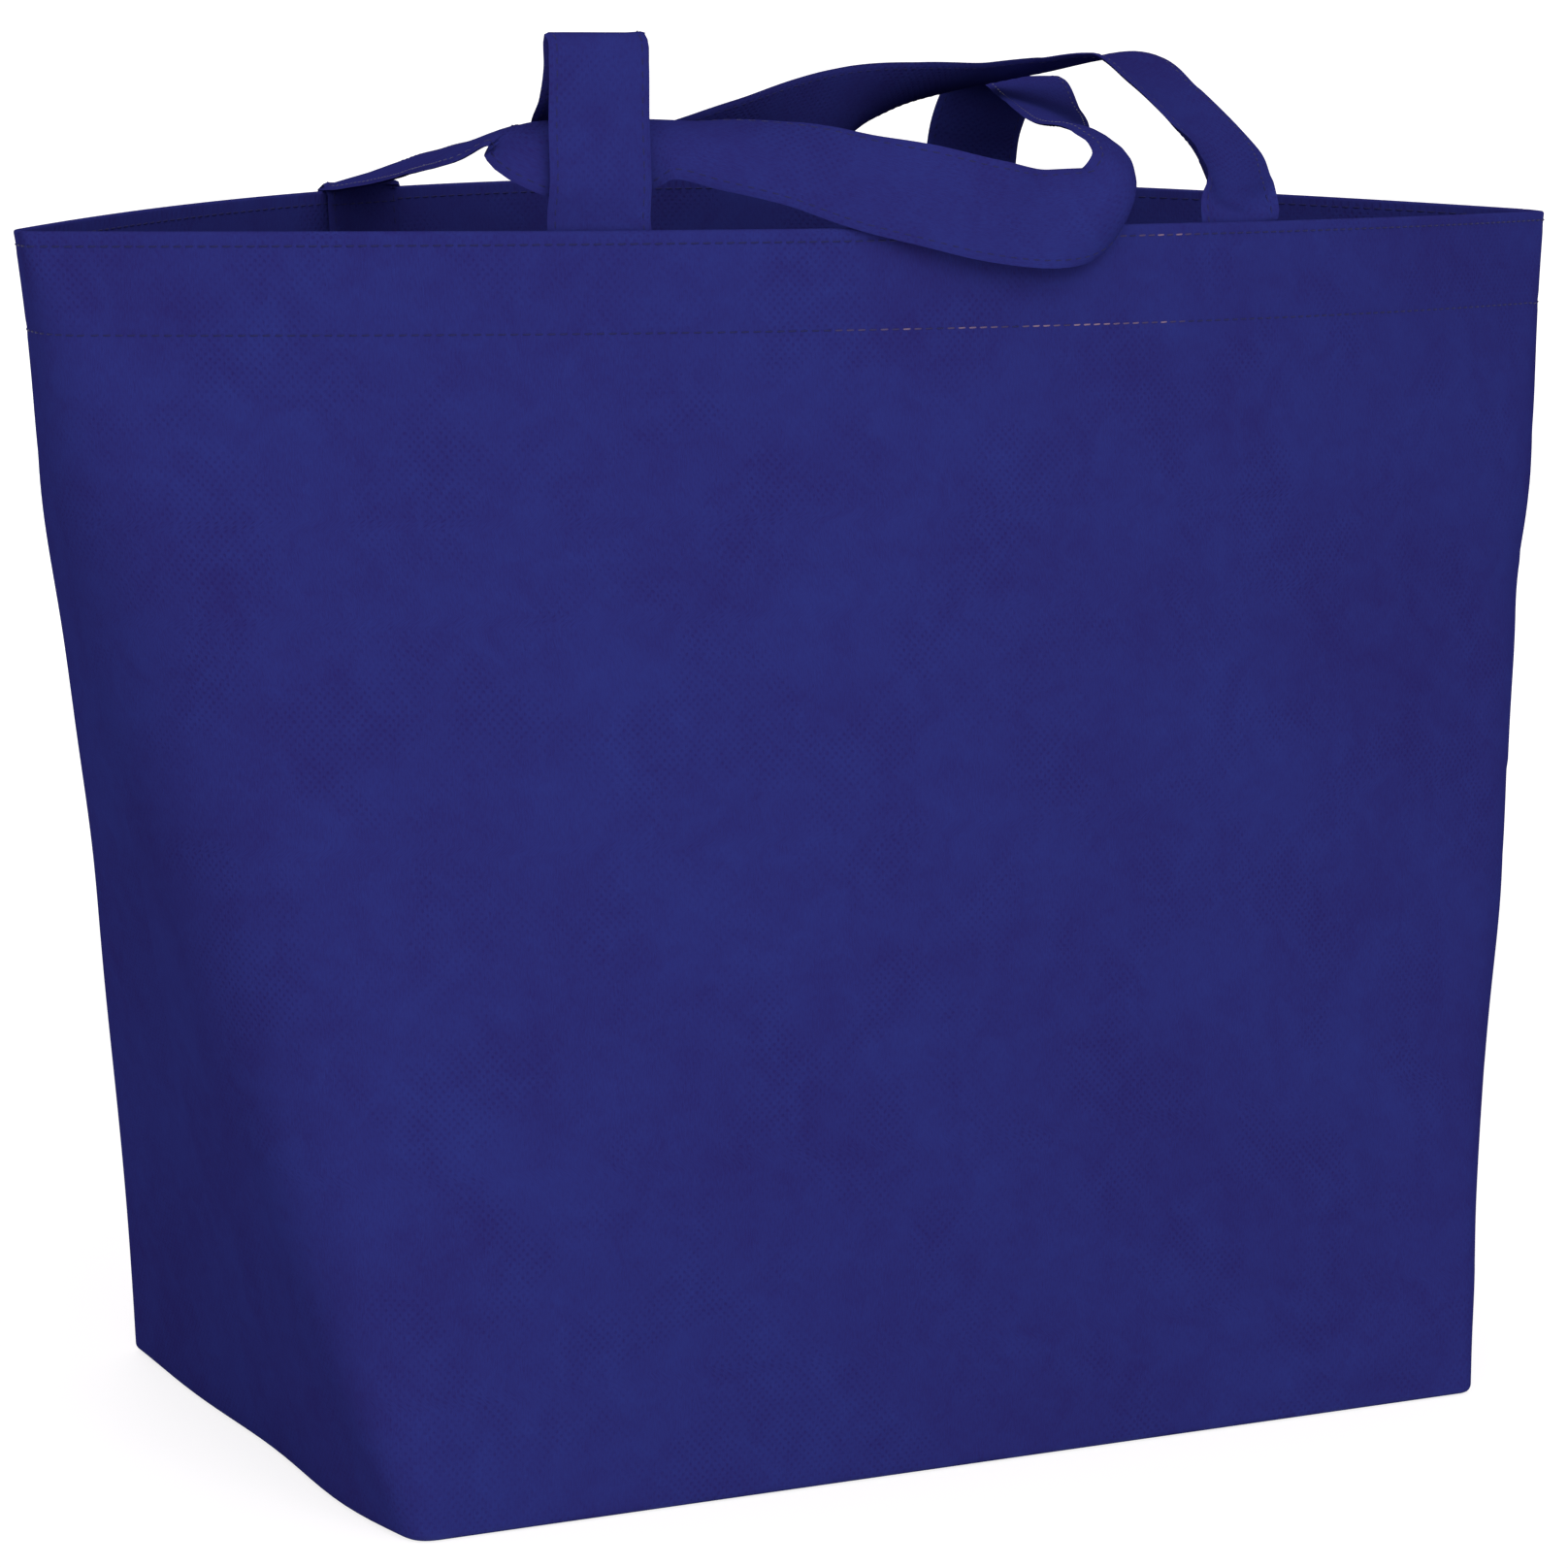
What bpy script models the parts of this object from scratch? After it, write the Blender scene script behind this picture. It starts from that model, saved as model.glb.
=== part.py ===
"""A non-woven shopping tote that stands open.

The bag is one cloth: a pouch whose bottom corners are boxed, so that it stands on a flat
rectangular base, with side seams that run down the middle of two triangular sides and a hem
that is folded inward round the mouth. Two strap handles are sewn to the inside of the hem.
The straps lie slack: the front one is creased over at its left leg, and the back one falls
forward over the front edge.

Metres, Z up. The origin is the middle of the base, on the floor. The front is at -Y.
"""

from math import cos, pi, sin

import bmesh
import bpy
from mathutils import Vector

# Cloth bag
BASE_WIDTH = 0.303
BASE_DEPTH = 0.200
BAG_HEIGHT = 0.3083
MOUTH_WIDTH = 0.434
MOUTH_BOW_FRONT = 0.072
MOUTH_BOW_BACK = 0.107
MOUTH_CORNER = 0.008
MOUTH_RISE_FRONT = 0.003
MOUTH_RISE_BACK = 0.0045
CLOTH = 0.0006

# How the soft mouth stands off true above the base
MOUTH_SHIFT = Vector((0.0066, -0.0038))
MOUTH_TURN = -1.5 * pi / 180
MOUTH_TILT = 0.0038

# Bellies of the panels, and roundness of the soft upright edges and the base's edge
PANEL_BELLY = 0.003
EDGE_BELLY = 0.003
SIDE_BELLY = 0.0025
SIDE_SAG = 0.0022
SIDE_SAG_HEIGHT = 0.04
FRONT_EDGE_ROUND = 0.018
BACK_EDGE_ROUND = 0.017
BASE_EDGE_ROUND = 0.002
EDGE_FADE = 0.09

# Hem folded inward round the mouth, and side seams sewn on the inside
HEM_DEPTH = 0.0254
HEM_AIR = 0.0004
SEAM_ALLOWANCE = 0.007
SEAM_FADE = 0.006

# Strap handles
STRAP_WIDTH = 0.0254
STRAP_THICKNESS = 0.0012
STRAP_SPACING = 0.181
STRAP_DRIFT = 0.0085
SEAT_CLEARANCE = 0.0006

# Steps along a panel, a soft edge, half a side, the wall's height, the hem's fold and a strap
PANEL_STEPS = 26
EDGE_STEPS = 4
HALF_SIDE_STEPS = 2
WALL_STEPS = 12
FOLD_STEPS = 4
BASE_EDGE_STEPS = 3
STRAP_STEPS = 5

NAVY = (0.0232, 0.0268, 0.152, 1.0)
CLOTH_ROUGHNESS = 0.75

FRONT = -1
BACK = 1
LEFT = -1
RIGHT = 1
EDGE_ROUND = {FRONT: FRONT_EDGE_ROUND, BACK: BACK_EDGE_ROUND}
MOUTH_BOW = {FRONT: MOUTH_BOW_FRONT, BACK: MOUTH_BOW_BACK}
MOUTH_RISE = {FRONT: MOUTH_RISE_FRONT, BACK: MOUTH_RISE_BACK}
FOLD_RADIUS = CLOTH + HEM_AIR / 2

# Routes of the straps between their seats. Each station is its place across the mouth, as a
# share of half the strap spacing, its place from front to back, as a share of the mouth's
# bow on that side, its height above the mouth in metres, the direction across the strap, and
# how deeply the strap is cupped there, as a share of half its width.
FRONT_ROUTE = (
    (-0.985, -0.87, 0.014, (1.0, -0.2, 0.0), 0.0),
    (-0.985, -0.86, 0.0305, (1.0, -0.15, 0.0), 0.0),
    (-0.982, -0.853, 0.0451, (1.0, -0.13, 0.0), 0.0),
    (-0.98, -0.84, 0.0496, (1.0, -0.12, 0.0), 0.0),
    (-0.98, -0.81, 0.0512, (1.0, -0.1, 0.0), 0.0),
    (-0.975, -0.793, 0.0494, (1.0, -0.1, 0.0), 0.0),
    (-0.965, -0.78, 0.0450, (1.0, -0.13, 0.01), 0.0),
    (-0.94, -0.64, 0.0367, (1.0, -0.05, 0.02), 0.0),
    (-0.90, -0.44, 0.0290, (1.0, -0.05, 0.04), 0.0),
    (-0.83, -0.26, 0.0215, (0.9, -0.3, 0.3), 0.0),
    (-0.66, -0.14, 0.0190, (0.4, -0.7, 0.5), 0.1),
    (-0.36, -0.08, 0.0222, (-0.1, -0.68, 0.68), 0.1),
    (0.06, 0.09, 0.027, (-0.3, -0.5, 0.8), 0.0),
    (0.33, 0.19, 0.0310, (-0.1, -0.8, 0.55), 0.1),
    (0.60, 0.27, 0.0335, (0.1, -0.9, 0.35), 0.1),
    (0.86, 0.28, 0.0365, (-0.35, -0.9, 0.2), 0.1),
    (1.02, 0.13, 0.0399, (-0.8, -0.6, 0.0), 0.1),
    (1.03, -0.15, 0.0325, (-0.9, -0.45, 0.0), 0.3),
    (1.05, -0.42, 0.0225, (-0.9, -0.3, 0.2), 0.35),
    (1.0, -0.72, 0.0135, (-0.95, -0.28, 0.05), 0.45),
    (0.985, -0.80, 0.0070, (-0.96, -0.26, 0.0), 0.15),
)
BACK_ROUTE = (
    (-1.055, 0.845, 0.0078, (0.94, 0.34, 0.04), 0.0),
    (-1.055, 0.83, 0.0094, (0.94, 0.34, 0.10), 0.0),
    (-1.053, 0.795, 0.0104, (0.94, 0.3, 0.18), 0.0),
    (-1.05, 0.73, 0.0109, (0.94, 0.2, 0.27), 0.0),
    (-1.05, 0.46, 0.0132, (0.94, 0.06, 0.35), 0.0),
    (-1.12, 0.05, 0.019, (0.93, -0.03, 0.36), 0.0),
    (-1.18, -0.26, 0.0222, (0.93, 0.0, 0.36), 0.1),
    (-1.20, -0.50, 0.0245, (0.93, 0.05, 0.36), 0.1),
    (-1.15, -0.64, 0.0258, (0.92, 0.12, 0.32), 0.2),
    (-1.14, -0.73, 0.0248, (0.84, 0.1, 0.53), 0.3),
    (-1.09, -0.78, 0.0225, (0.66, 0.0, 0.72), 0.3),
    (-0.96, -0.79, 0.0221, (0.56, 0.1, 0.8), 0.3),
    (-0.77, -0.79, 0.0230, (0.5, 0.4, 0.7), 0.4),
    (-0.58, -0.81, 0.0229, (0.45, 0.55, 0.65), 0.4),
    (-0.41, -0.91, 0.0196, (0.3, 0.5, 0.8), 0.2),
    (-0.24, -1.03, 0.0145, (0.28, 0.3, 0.9), 0.1),
    (-0.10, -1.10, 0.0113, (0.25, 0.16, 0.95), 0.0),
    (0.09, -1.15, 0.0071, (0.18, 0.15, 0.97), 0.0),
    (0.29, -1.14, 0.0050, (0.1, 0.3, 0.93), 0.15),
    (0.43, -1.105, 0.0088, (0.0, 0.35, 0.9), 0.3),
    (0.53, -0.985, 0.0155, (-0.12, 0.42, 0.85), 0.4),
    (0.605, -0.76, 0.0206, (-0.42, 0.38, 0.75), 0.45),
    (0.67, -0.43, 0.0220, (-0.7, 0.15, 0.55), 0.35),
    (0.78, 0.06, 0.0240, (-0.93, -0.05, 0.33), 0.1),
    (0.90, 0.35, 0.0268, (-0.97, -0.05, 0.15), 0.0),
    (0.97, 0.57, 0.0322, (-1.0, 0.15, 0.0), 0.0),
    (0.99, 0.70, 0.0278, (-1.0, 0.2, 0.0), 0.0),
    (0.98, 0.78, 0.0185, (-0.98, 0.2, 0.0), 0.0),
)


def blend(start, end, share):
    """Value that lies a share of the way from start to end."""
    return start + (end - start) * share


def half_size(level):
    """Half width and half depth of the box section at a share of the bag's height."""
    return (blend(BASE_WIDTH, MOUTH_WIDTH, level) / 2 + EDGE_BELLY * sin(pi * level),
            blend(BASE_DEPTH, MOUTH_CORNER, level) / 2)


def edge_round(panel, level):
    """Roundness of a panel's upright edges, which are sharp at the base and soften above it."""
    softness = blend(0.16, 1.0, sin(pi / 2 * min(level * BAG_HEIGHT / EDGE_FADE, 1.0)))
    _, half_depth = half_size(level)
    return min(EDGE_ROUND[panel] * softness, 0.9 * half_depth)


def panel_place(across, level, panel):
    """Plan position on a panel, from -1 at its left edge to 1 at its right one."""
    half_width, half_depth = half_size(level)
    bow = MOUTH_BOW[panel] * level + PANEL_BELLY * sin(pi * level)
    return Vector((across * half_width, panel * (half_depth + bow * (1 - across * across))))


def side_place(along, level, side):
    """Plan position on a triangular side, from -1 at its front edge to 1 at its back one."""
    half_width, half_depth = half_size(level)
    sag = SIDE_SAG * max(0.0, 1 - level * BAG_HEIGHT / SIDE_SAG_HEIGHT) ** 2
    belly = (SIDE_BELLY * sin(pi * level) + sag) * (1 - along * along)
    return Vector((side * (half_width + belly), along * half_depth))


def soft_edge(before, corner, after):
    """Inner points of a soft upright edge that rounds off a corner."""
    points = []
    for step in range(1, EDGE_STEPS):
        share = step / EDGE_STEPS
        points.append(before * (1 - share) ** 2 + corner * 2 * share * (1 - share)
                      + after * share ** 2)
    return points


def section(level):
    """Outline of the bag's outside at one level, counterclockwise from the front's left.

    Each point is its plan position, its panel, its place across that panel and whether it
    belongs to a side seam. Points on a side count as the end of the panel before or after.
    """
    half_width, half_depth = half_size(level)
    seam = 1.7 * CLOTH / half_depth
    points = []
    for panel, side in ((FRONT, RIGHT), (BACK, LEFT)):
        near = edge_round(panel, level)
        far = edge_round(-panel, level)
        trim = 1 - near / half_width
        for step in range(PANEL_STEPS + 1):
            across = side * blend(-trim, trim, step / PANEL_STEPS)
            points.append((panel_place(across, level, panel), panel, across, False))
        first = panel * (1 - near / half_depth)
        last = -panel * (1 - far / half_depth)
        corner = Vector((side * half_width, panel * half_depth))
        for place in soft_edge(points[-1][0], corner, side_place(first, level, side)):
            points.append((place, panel, side, False))
        for step in range(HALF_SIDE_STEPS):
            along = blend(first, panel * 2 * seam, step / HALF_SIDE_STEPS)
            points.append((side_place(along, level, side), panel, side, False))
        for share in (1.0, 0.4, -0.4, -1.0):
            points.append((side_place(panel * share * seam, level, side), panel, side, True))
        for step in range(1, HALF_SIDE_STEPS + 1):
            along = blend(-panel * 2 * seam, last, step / HALF_SIDE_STEPS)
            points.append((side_place(along, level, side), -panel, side, False))
        corner = Vector((side * half_width, -panel * half_depth))
        start = panel_place(side * (1 - far / half_width), level, -panel)
        for place in soft_edge(points[-1][0], corner, start):
            points.append((place, -panel, side, False))
    return points


def lean(place, level):
    """Plan position turned and shifted as the soft bag leans, more so low down."""
    growth = sin(pi / 2 * level)
    angle = MOUTH_TURN * growth
    turned = Vector((place.x * cos(angle) - place.y * sin(angle),
                     place.x * sin(angle) + place.y * cos(angle)))
    return turned + MOUTH_SHIFT * growth


def height(level, panel, across):
    """Height of a point of the wall, whose top edge rises in the middle of each panel."""
    rise = MOUTH_RISE[panel] * (1 - across * across)
    return level * (BAG_HEIGHT - MOUTH_TILT * across + rise)


def ring(level, inset, seam_depth=0.0):
    """Closed ring of points at one level, moved inward from the outside by the inset.

    The seam depth is how far the allowance of each side seam stands in from the wall.
    """
    outline = section(level)
    count = len(outline)
    points = []
    for index, (place, panel, across, is_seam) in enumerate(outline):
        before = (place - outline[index - 1][0]).normalized()
        after = (outline[(index + 1) % count][0] - place).normalized()
        inward = Vector((-before.y - after.y, before.x + after.x)).normalized()
        miter = max(0.5, inward.dot(Vector((-before.y, before.x))))
        moved = place + inward * (inset / miter)
        tip = is_seam and outline[index - 1][3] and outline[(index + 1) % count][3]
        if tip:
            moved = moved + Vector((-across * seam_depth, 0))
        leaning = lean(moved, level)
        points.append(Vector((leaning.x, leaning.y, height(level, panel, across))))
    return points


def level_below(drop):
    """Share of the height that lies this far below the mouth's edge."""
    return 1 - drop / BAG_HEIGHT


def wall_rings():
    """Rings of the cloth from the base's outside, over the hem and back to the inside."""
    rings = []
    base_levels = [BASE_EDGE_ROUND * (1 - cos(pi / 2 * step / BASE_EDGE_STEPS))
                   / BAG_HEIGHT for step in range(BASE_EDGE_STEPS + 1)]
    base_insets = [BASE_EDGE_ROUND * (1 - sin(pi / 2 * step / BASE_EDGE_STEPS))
                   for step in range(BASE_EDGE_STEPS + 1)]
    low = BASE_EDGE_ROUND / BAG_HEIGHT
    hem_end = level_below(HEM_DEPTH)
    fold_start = level_below(FOLD_RADIUS)
    seam_end = level_below(HEM_DEPTH + SEAM_FADE)
    wall_levels = [blend(low, seam_end, step / WALL_STEPS) for step in range(WALL_STEPS + 1)]

    # Outside, from the base's edge up
    for level, inset in zip(base_levels, base_insets):
        rings.append(ring(level, inset))
    for level in wall_levels[1:] + [hem_end, blend(hem_end, fold_start, 0.5), fold_start]:
        rings.append(ring(level, 0.0))
    # Over the fold, and down the hem's inner layer to its raw edge
    for step in range(1, FOLD_STEPS + 1):
        angle = pi * step / FOLD_STEPS
        rings.append(ring(level_below(FOLD_RADIUS * (1 - sin(angle))),
                          FOLD_RADIUS * (1 - cos(angle))))
    for level in (blend(hem_end, fold_start, 0.5), hem_end):
        rings.append(ring(level, 2 * FOLD_RADIUS))
    # Up behind the inner layer, under the fold, and down the inside
    for level in (hem_end, blend(hem_end, fold_start, 0.5), fold_start):
        rings.append(ring(level, 2 * FOLD_RADIUS - CLOTH))
    rings.append(ring(level_below(FOLD_RADIUS - HEM_AIR / 2), FOLD_RADIUS))
    for level in (fold_start, blend(hem_end, fold_start, 0.5), hem_end):
        rings.append(ring(level, CLOTH))
    for level in reversed(wall_levels[1:]):
        rings.append(ring(level, CLOTH, SEAM_ALLOWANCE if level < seam_end else 0.0))
    for level, inset in zip(reversed(base_levels), reversed(base_insets)):
        share = (BASE_EDGE_ROUND - CLOTH) / BASE_EDGE_ROUND
        rings.append(ring(blend(low, level, share),
                          BASE_EDGE_ROUND - (BASE_EDGE_ROUND - inset) * share))
    return rings


def new_object(name, mesh_data, finish):
    """Object with its mesh shaded smooth and its material assigned."""
    mesh = bpy.data.meshes.new(name)
    mesh_data.to_mesh(mesh)
    mesh_data.free()
    mesh.shade_smooth()
    mesh.set_sharp_from_angle(angle=pi / 5)
    mesh.materials.append(finish)
    piece = bpy.data.objects.new(name, mesh)
    bpy.context.scene.collection.objects.link(piece)
    return piece


def loft(rings):
    """Closed body through rings of equally many points, counterclockwise seen from ahead."""
    data = bmesh.new()
    loops = [[data.verts.new(point) for point in points] for points in rings]
    count = len(loops[0])
    for lower, upper in zip(loops, loops[1:]):
        for index in range(count):
            after = (index + 1) % count
            data.faces.new((lower[index], lower[after], upper[after], upper[index]))
    data.faces.new(reversed(loops[0]))
    data.faces.new(loops[-1])
    return data


def across_at_strap(panel, side):
    """Place across the mouth's edge of a strap, half the spacing from the middle.

    The back strap's left end was sewn a little farther out.
    """
    reach = STRAP_SPACING / 2 + (STRAP_DRIFT if (panel, side) == (BACK, LEFT) else 0.0)
    steps = 400
    length = 0.0
    before = panel_place(0.0, 1.0, panel)
    for step in range(1, steps + 1):
        across = step / steps
        place = panel_place(across, 1.0, panel)
        length += (place - before).length
        before = place
        if length >= reach:
            return side * across
    return side


def seat_station(panel, side, drop):
    """Centre of a strap on the hem's inside, the direction across it and its cup, which is 0."""
    across = across_at_strap(panel, side)
    level = level_below(drop)
    reach = 0.02
    place = panel_place(across, level, panel)
    tangent = (panel_place(across + reach, level, panel)
               - panel_place(across - reach, level, panel)).normalized()
    inward = Vector((-tangent.y, tangent.x)) * -panel
    half_width, _ = half_size(level)
    hollow = MOUTH_BOW[panel] * (STRAP_WIDTH / 2 / half_width) ** 2
    stand_off = 2 * FOLD_RADIUS + SEAT_CLEARANCE + hollow + STRAP_THICKNESS / 2
    centre = lean(place + inward * stand_off, level)
    turned = (lean(place + inward * stand_off + tangent, level) - centre) * -side
    return (Vector((centre.x, centre.y, height(level, panel, across))),
            Vector((turned.x, turned.y, 0.0)), (0.0,))


def route_station(across, depth, above, direction, cup):
    """Station of a strap's route in space, from its shares of the mouth's size."""
    bow = MOUTH_BOW_FRONT if depth < 0 else MOUTH_BOW_BACK
    place = lean(Vector((across * STRAP_SPACING / 2, depth * bow)), 1.0)
    return Vector((place.x, place.y, BAG_HEIGHT + above)), Vector(direction), (cup,)


def station_slope(stations, index):
    """Rate at which a station's numbers change along the strap, from its two neighbours."""
    here = stations[index]
    slopes = []
    lengths = []
    for other in (index - 1, index + 1):
        if 0 <= other < len(stations):
            length = (here[0] - stations[other][0]).length
            sign = 1 if other > index else -1
            slopes.append([[sign * (b - a) / length for a, b in zip(mine, its)]
                           for mine, its in zip(here, stations[other])])
            lengths.append(length)
    if len(slopes) == 1:
        return slopes[0]
    share = lengths[0] / (lengths[0] + lengths[1])
    return [[blend(a, b, share) for a, b in zip(*pair)] for pair in zip(*slopes)]


def smooth_stations(stations):
    """Stations of a smooth curve through the given ones: centre, direction and cup."""
    path = []
    for index in range(len(stations) - 1):
        here = stations[index]
        there = stations[index + 1]
        length = (there[0] - here[0]).length
        leaving = station_slope(stations, index)
        arriving = station_slope(stations, index + 1)
        for step in range(STRAP_STEPS):
            share = step / STRAP_STEPS
            toward = share * share * (3 - 2 * share)
            out = length * share * (1 - share) ** 2
            back = -length * share * share * (1 - share)
            path.append([[blend(a, b, toward) + out * c + back * d for a, b, c, d in zip(*parts)]
                         for parts in zip(here, there, leaving, arriving)])
    path.append(stations[-1])
    return [(Vector(centre), Vector(direction), cup[0]) for centre, direction, cup in path]


def strap(name, panel, route, finish):
    """Strap handle that starts and ends on the inside of the hem of one panel."""
    drops = (HEM_DEPTH - 0.002, HEM_DEPTH / 2, 0.002, -0.001)
    stations = [seat_station(panel, LEFT, drop) for drop in drops]
    stations += [route_station(*station) for station in route]
    stations += [seat_station(panel, RIGHT, drop) for drop in reversed(drops)]
    path = smooth_stations(stations)
    half = STRAP_WIDTH / 2
    thick = STRAP_THICKNESS / 2
    rings = []
    for index, (centre, direction, cup) in enumerate(path):
        before = path[max(index - 1, 0)][0]
        after = path[min(index + 1, len(path) - 1)][0]
        heading = (after - before).normalized()
        width = (direction - heading * direction.dot(heading)).normalized()
        normal = heading.cross(width)
        narrow = half * (1 - cup * cup / 2)
        under = []
        over = []
        for place in (-1.0, -0.5, 0.0, 0.5, 1.0):
            middle = centre + width * (narrow * place) + normal * (half * cup * (0.4 - place ** 2))
            slope = -2 * cup * place * half / narrow
            facing = (normal - width * slope).normalized()
            under.append(middle - facing * thick)
            over.append(middle + facing * thick)
        rings.append(under + over[::-1])
    return new_object(name, loft(rings), finish)


def cloth_finish(name):
    """Matt navy finish of the cloth."""
    finish = bpy.data.materials.new(name)
    finish.use_nodes = True
    shader = finish.node_tree.nodes["Principled BSDF"]
    shader.inputs["Base Color"].default_value = NAVY
    shader.inputs["Roughness"].default_value = CLOTH_ROUGHNESS
    shader.inputs["Metallic"].default_value = 0.0
    return finish


def main():
    """Build the tote in an empty scene."""
    for old in list(bpy.data.objects):
        bpy.data.objects.remove(old)
    new_object("bag_body", loft(wall_rings()), cloth_finish("bag_cloth"))
    strap("front_handle", FRONT, FRONT_ROUTE, cloth_finish("front_strap_cloth"))
    strap("back_handle", BACK, BACK_ROUTE, cloth_finish("back_strap_cloth"))


main()
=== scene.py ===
"""Looks of a non-woven shopping tote that stands open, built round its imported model.

The bag's body is one embossed cloth with boxed bottom corners, side seams and a hem that is
folded inward round the mouth. Two slack strap handles are sewn to the inside of the hem. The
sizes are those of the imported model, in metres, Z up, with the front at -Y.
"""

import logging
from dataclasses import dataclass, field
from enum import Enum
from math import cos, exp, pi, radians, sin, sqrt
from typing import Callable, Iterable, Sequence

import bpy
from mathutils import Matrix, Vector, noise


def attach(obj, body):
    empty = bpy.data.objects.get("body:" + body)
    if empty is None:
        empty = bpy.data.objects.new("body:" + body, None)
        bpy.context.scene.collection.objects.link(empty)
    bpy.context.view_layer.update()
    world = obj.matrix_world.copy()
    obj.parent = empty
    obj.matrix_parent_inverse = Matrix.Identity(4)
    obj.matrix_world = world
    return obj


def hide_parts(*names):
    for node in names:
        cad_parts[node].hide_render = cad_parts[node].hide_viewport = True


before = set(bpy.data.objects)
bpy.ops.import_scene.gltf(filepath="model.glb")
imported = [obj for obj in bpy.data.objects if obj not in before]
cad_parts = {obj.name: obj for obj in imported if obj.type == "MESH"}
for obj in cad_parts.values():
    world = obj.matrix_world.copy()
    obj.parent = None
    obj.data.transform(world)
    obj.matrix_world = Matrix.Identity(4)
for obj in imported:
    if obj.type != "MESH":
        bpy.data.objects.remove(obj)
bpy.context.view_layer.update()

log = logging.getLogger("tote")

MM = 0.001
IMAGE_SIDE = 1616
CLOTH_MAP = "cloth_map"
WEAR = "wear"
# Attribute that holds each stitch's share of painted glint, a paler thread colour for light that
# the thread catches.
PAINTED_GLINT = "pull"

Colour = tuple[float, float, float, float]


class Panel(Enum):
    """A panel of the bag. Its value is the way it faces along Y."""

    FRONT = -1
    BACK = 1


class Side(Enum):
    """A side of the bag. Its value is the way it faces along X."""

    LEFT = -1
    RIGHT = 1


def blend(start: float, end: float, share: float) -> float:
    """Value that lies a share of the way from start to end."""
    return start + (end - start) * share


def clamp(value: float, low: float = 0.0, high: float = 1.0) -> float:
    """Value held between low and high."""
    return max(low, min(high, value))


def ease(value: float) -> float:
    """Smooth step from 0 to 1 as the value goes from 0 to 1."""
    held = clamp(value)
    return held * held * (3 - 2 * held)


def hump(distance: float, reach: float) -> float:
    """Soft hump that is 1 at no distance and fades over the reach."""
    return exp(-((distance / reach) ** 2))


# Form of the bag


@dataclass(frozen=True)
class Dent:
    """A soft dent or swelling of a panel.

    Attributes:
        panel: Panel that has it.
        cut: Place across the cloth, from the panel's middle.
        height: Height above the floor.
        wide: Reach across it.
        tall: Reach along it.
        turn: Turn of its long axis from upright, in degrees, toward +X at the top.
        swell: How far it stands out, negative for a dent.
    """

    panel: Panel
    cut: float
    height: float
    wide: float
    tall: float
    turn: float
    swell: float

    def at(self, cut: float, height: float) -> float:
        """How far the cloth stands out at a place.

        Args:
            cut: Place across the cloth, from the panel's middle.
            height: Height above the floor.

        Returns:
            Distance outward, in metres.
        """
        angle = radians(self.turn)
        right = cut - self.cut
        up = height - self.height
        beside = (right * cos(angle) - up * sin(angle)) / self.wide
        ahead = (right * sin(angle) + up * cos(angle)) / self.tall
        return self.swell * exp(-beside * beside - ahead * ahead)


@dataclass(frozen=True)
class OutlinePoint:
    """A point of the bag's outline at one level."""

    place: Vector
    panel: Panel
    across: float
    on_seam: bool
    cut: float = 0.0


DENTS = (
    Dent(Panel.FRONT, -0.160, 0.205, 0.022, 0.034, 20, -0.0016),
    Dent(Panel.FRONT, -0.080, 0.030, 0.030, 0.022, 70, -0.0014),
    Dent(Panel.FRONT, -0.150, 0.018, 0.012, 0.030, -50, 0.0016),
    Dent(Panel.FRONT, 0.128, 0.060, 0.006, 0.026, -12, -0.0008),
    Dent(Panel.FRONT, 0.126, 0.014, 0.010, 0.034, 62, 0.0010),
    Dent(Panel.FRONT, 0.188, 0.130, 0.010, 0.070, -5, 0.0014),
    Dent(Panel.FRONT, 0.205, 0.215, 0.012, 0.016, 0, -0.0012),
    Dent(Panel.FRONT, -0.196, 0.085, 0.010, 0.030, 8, -0.0010),
    Dent(Panel.BACK, 0.100, 0.190, 0.050, 0.030, 30, -0.0018),
    Dent(Panel.BACK, -0.120, 0.110, 0.030, 0.050, -15, -0.0016),
    Dent(Panel.BACK, 0.040, 0.070, 0.040, 0.020, 60, 0.0014),
)


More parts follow.
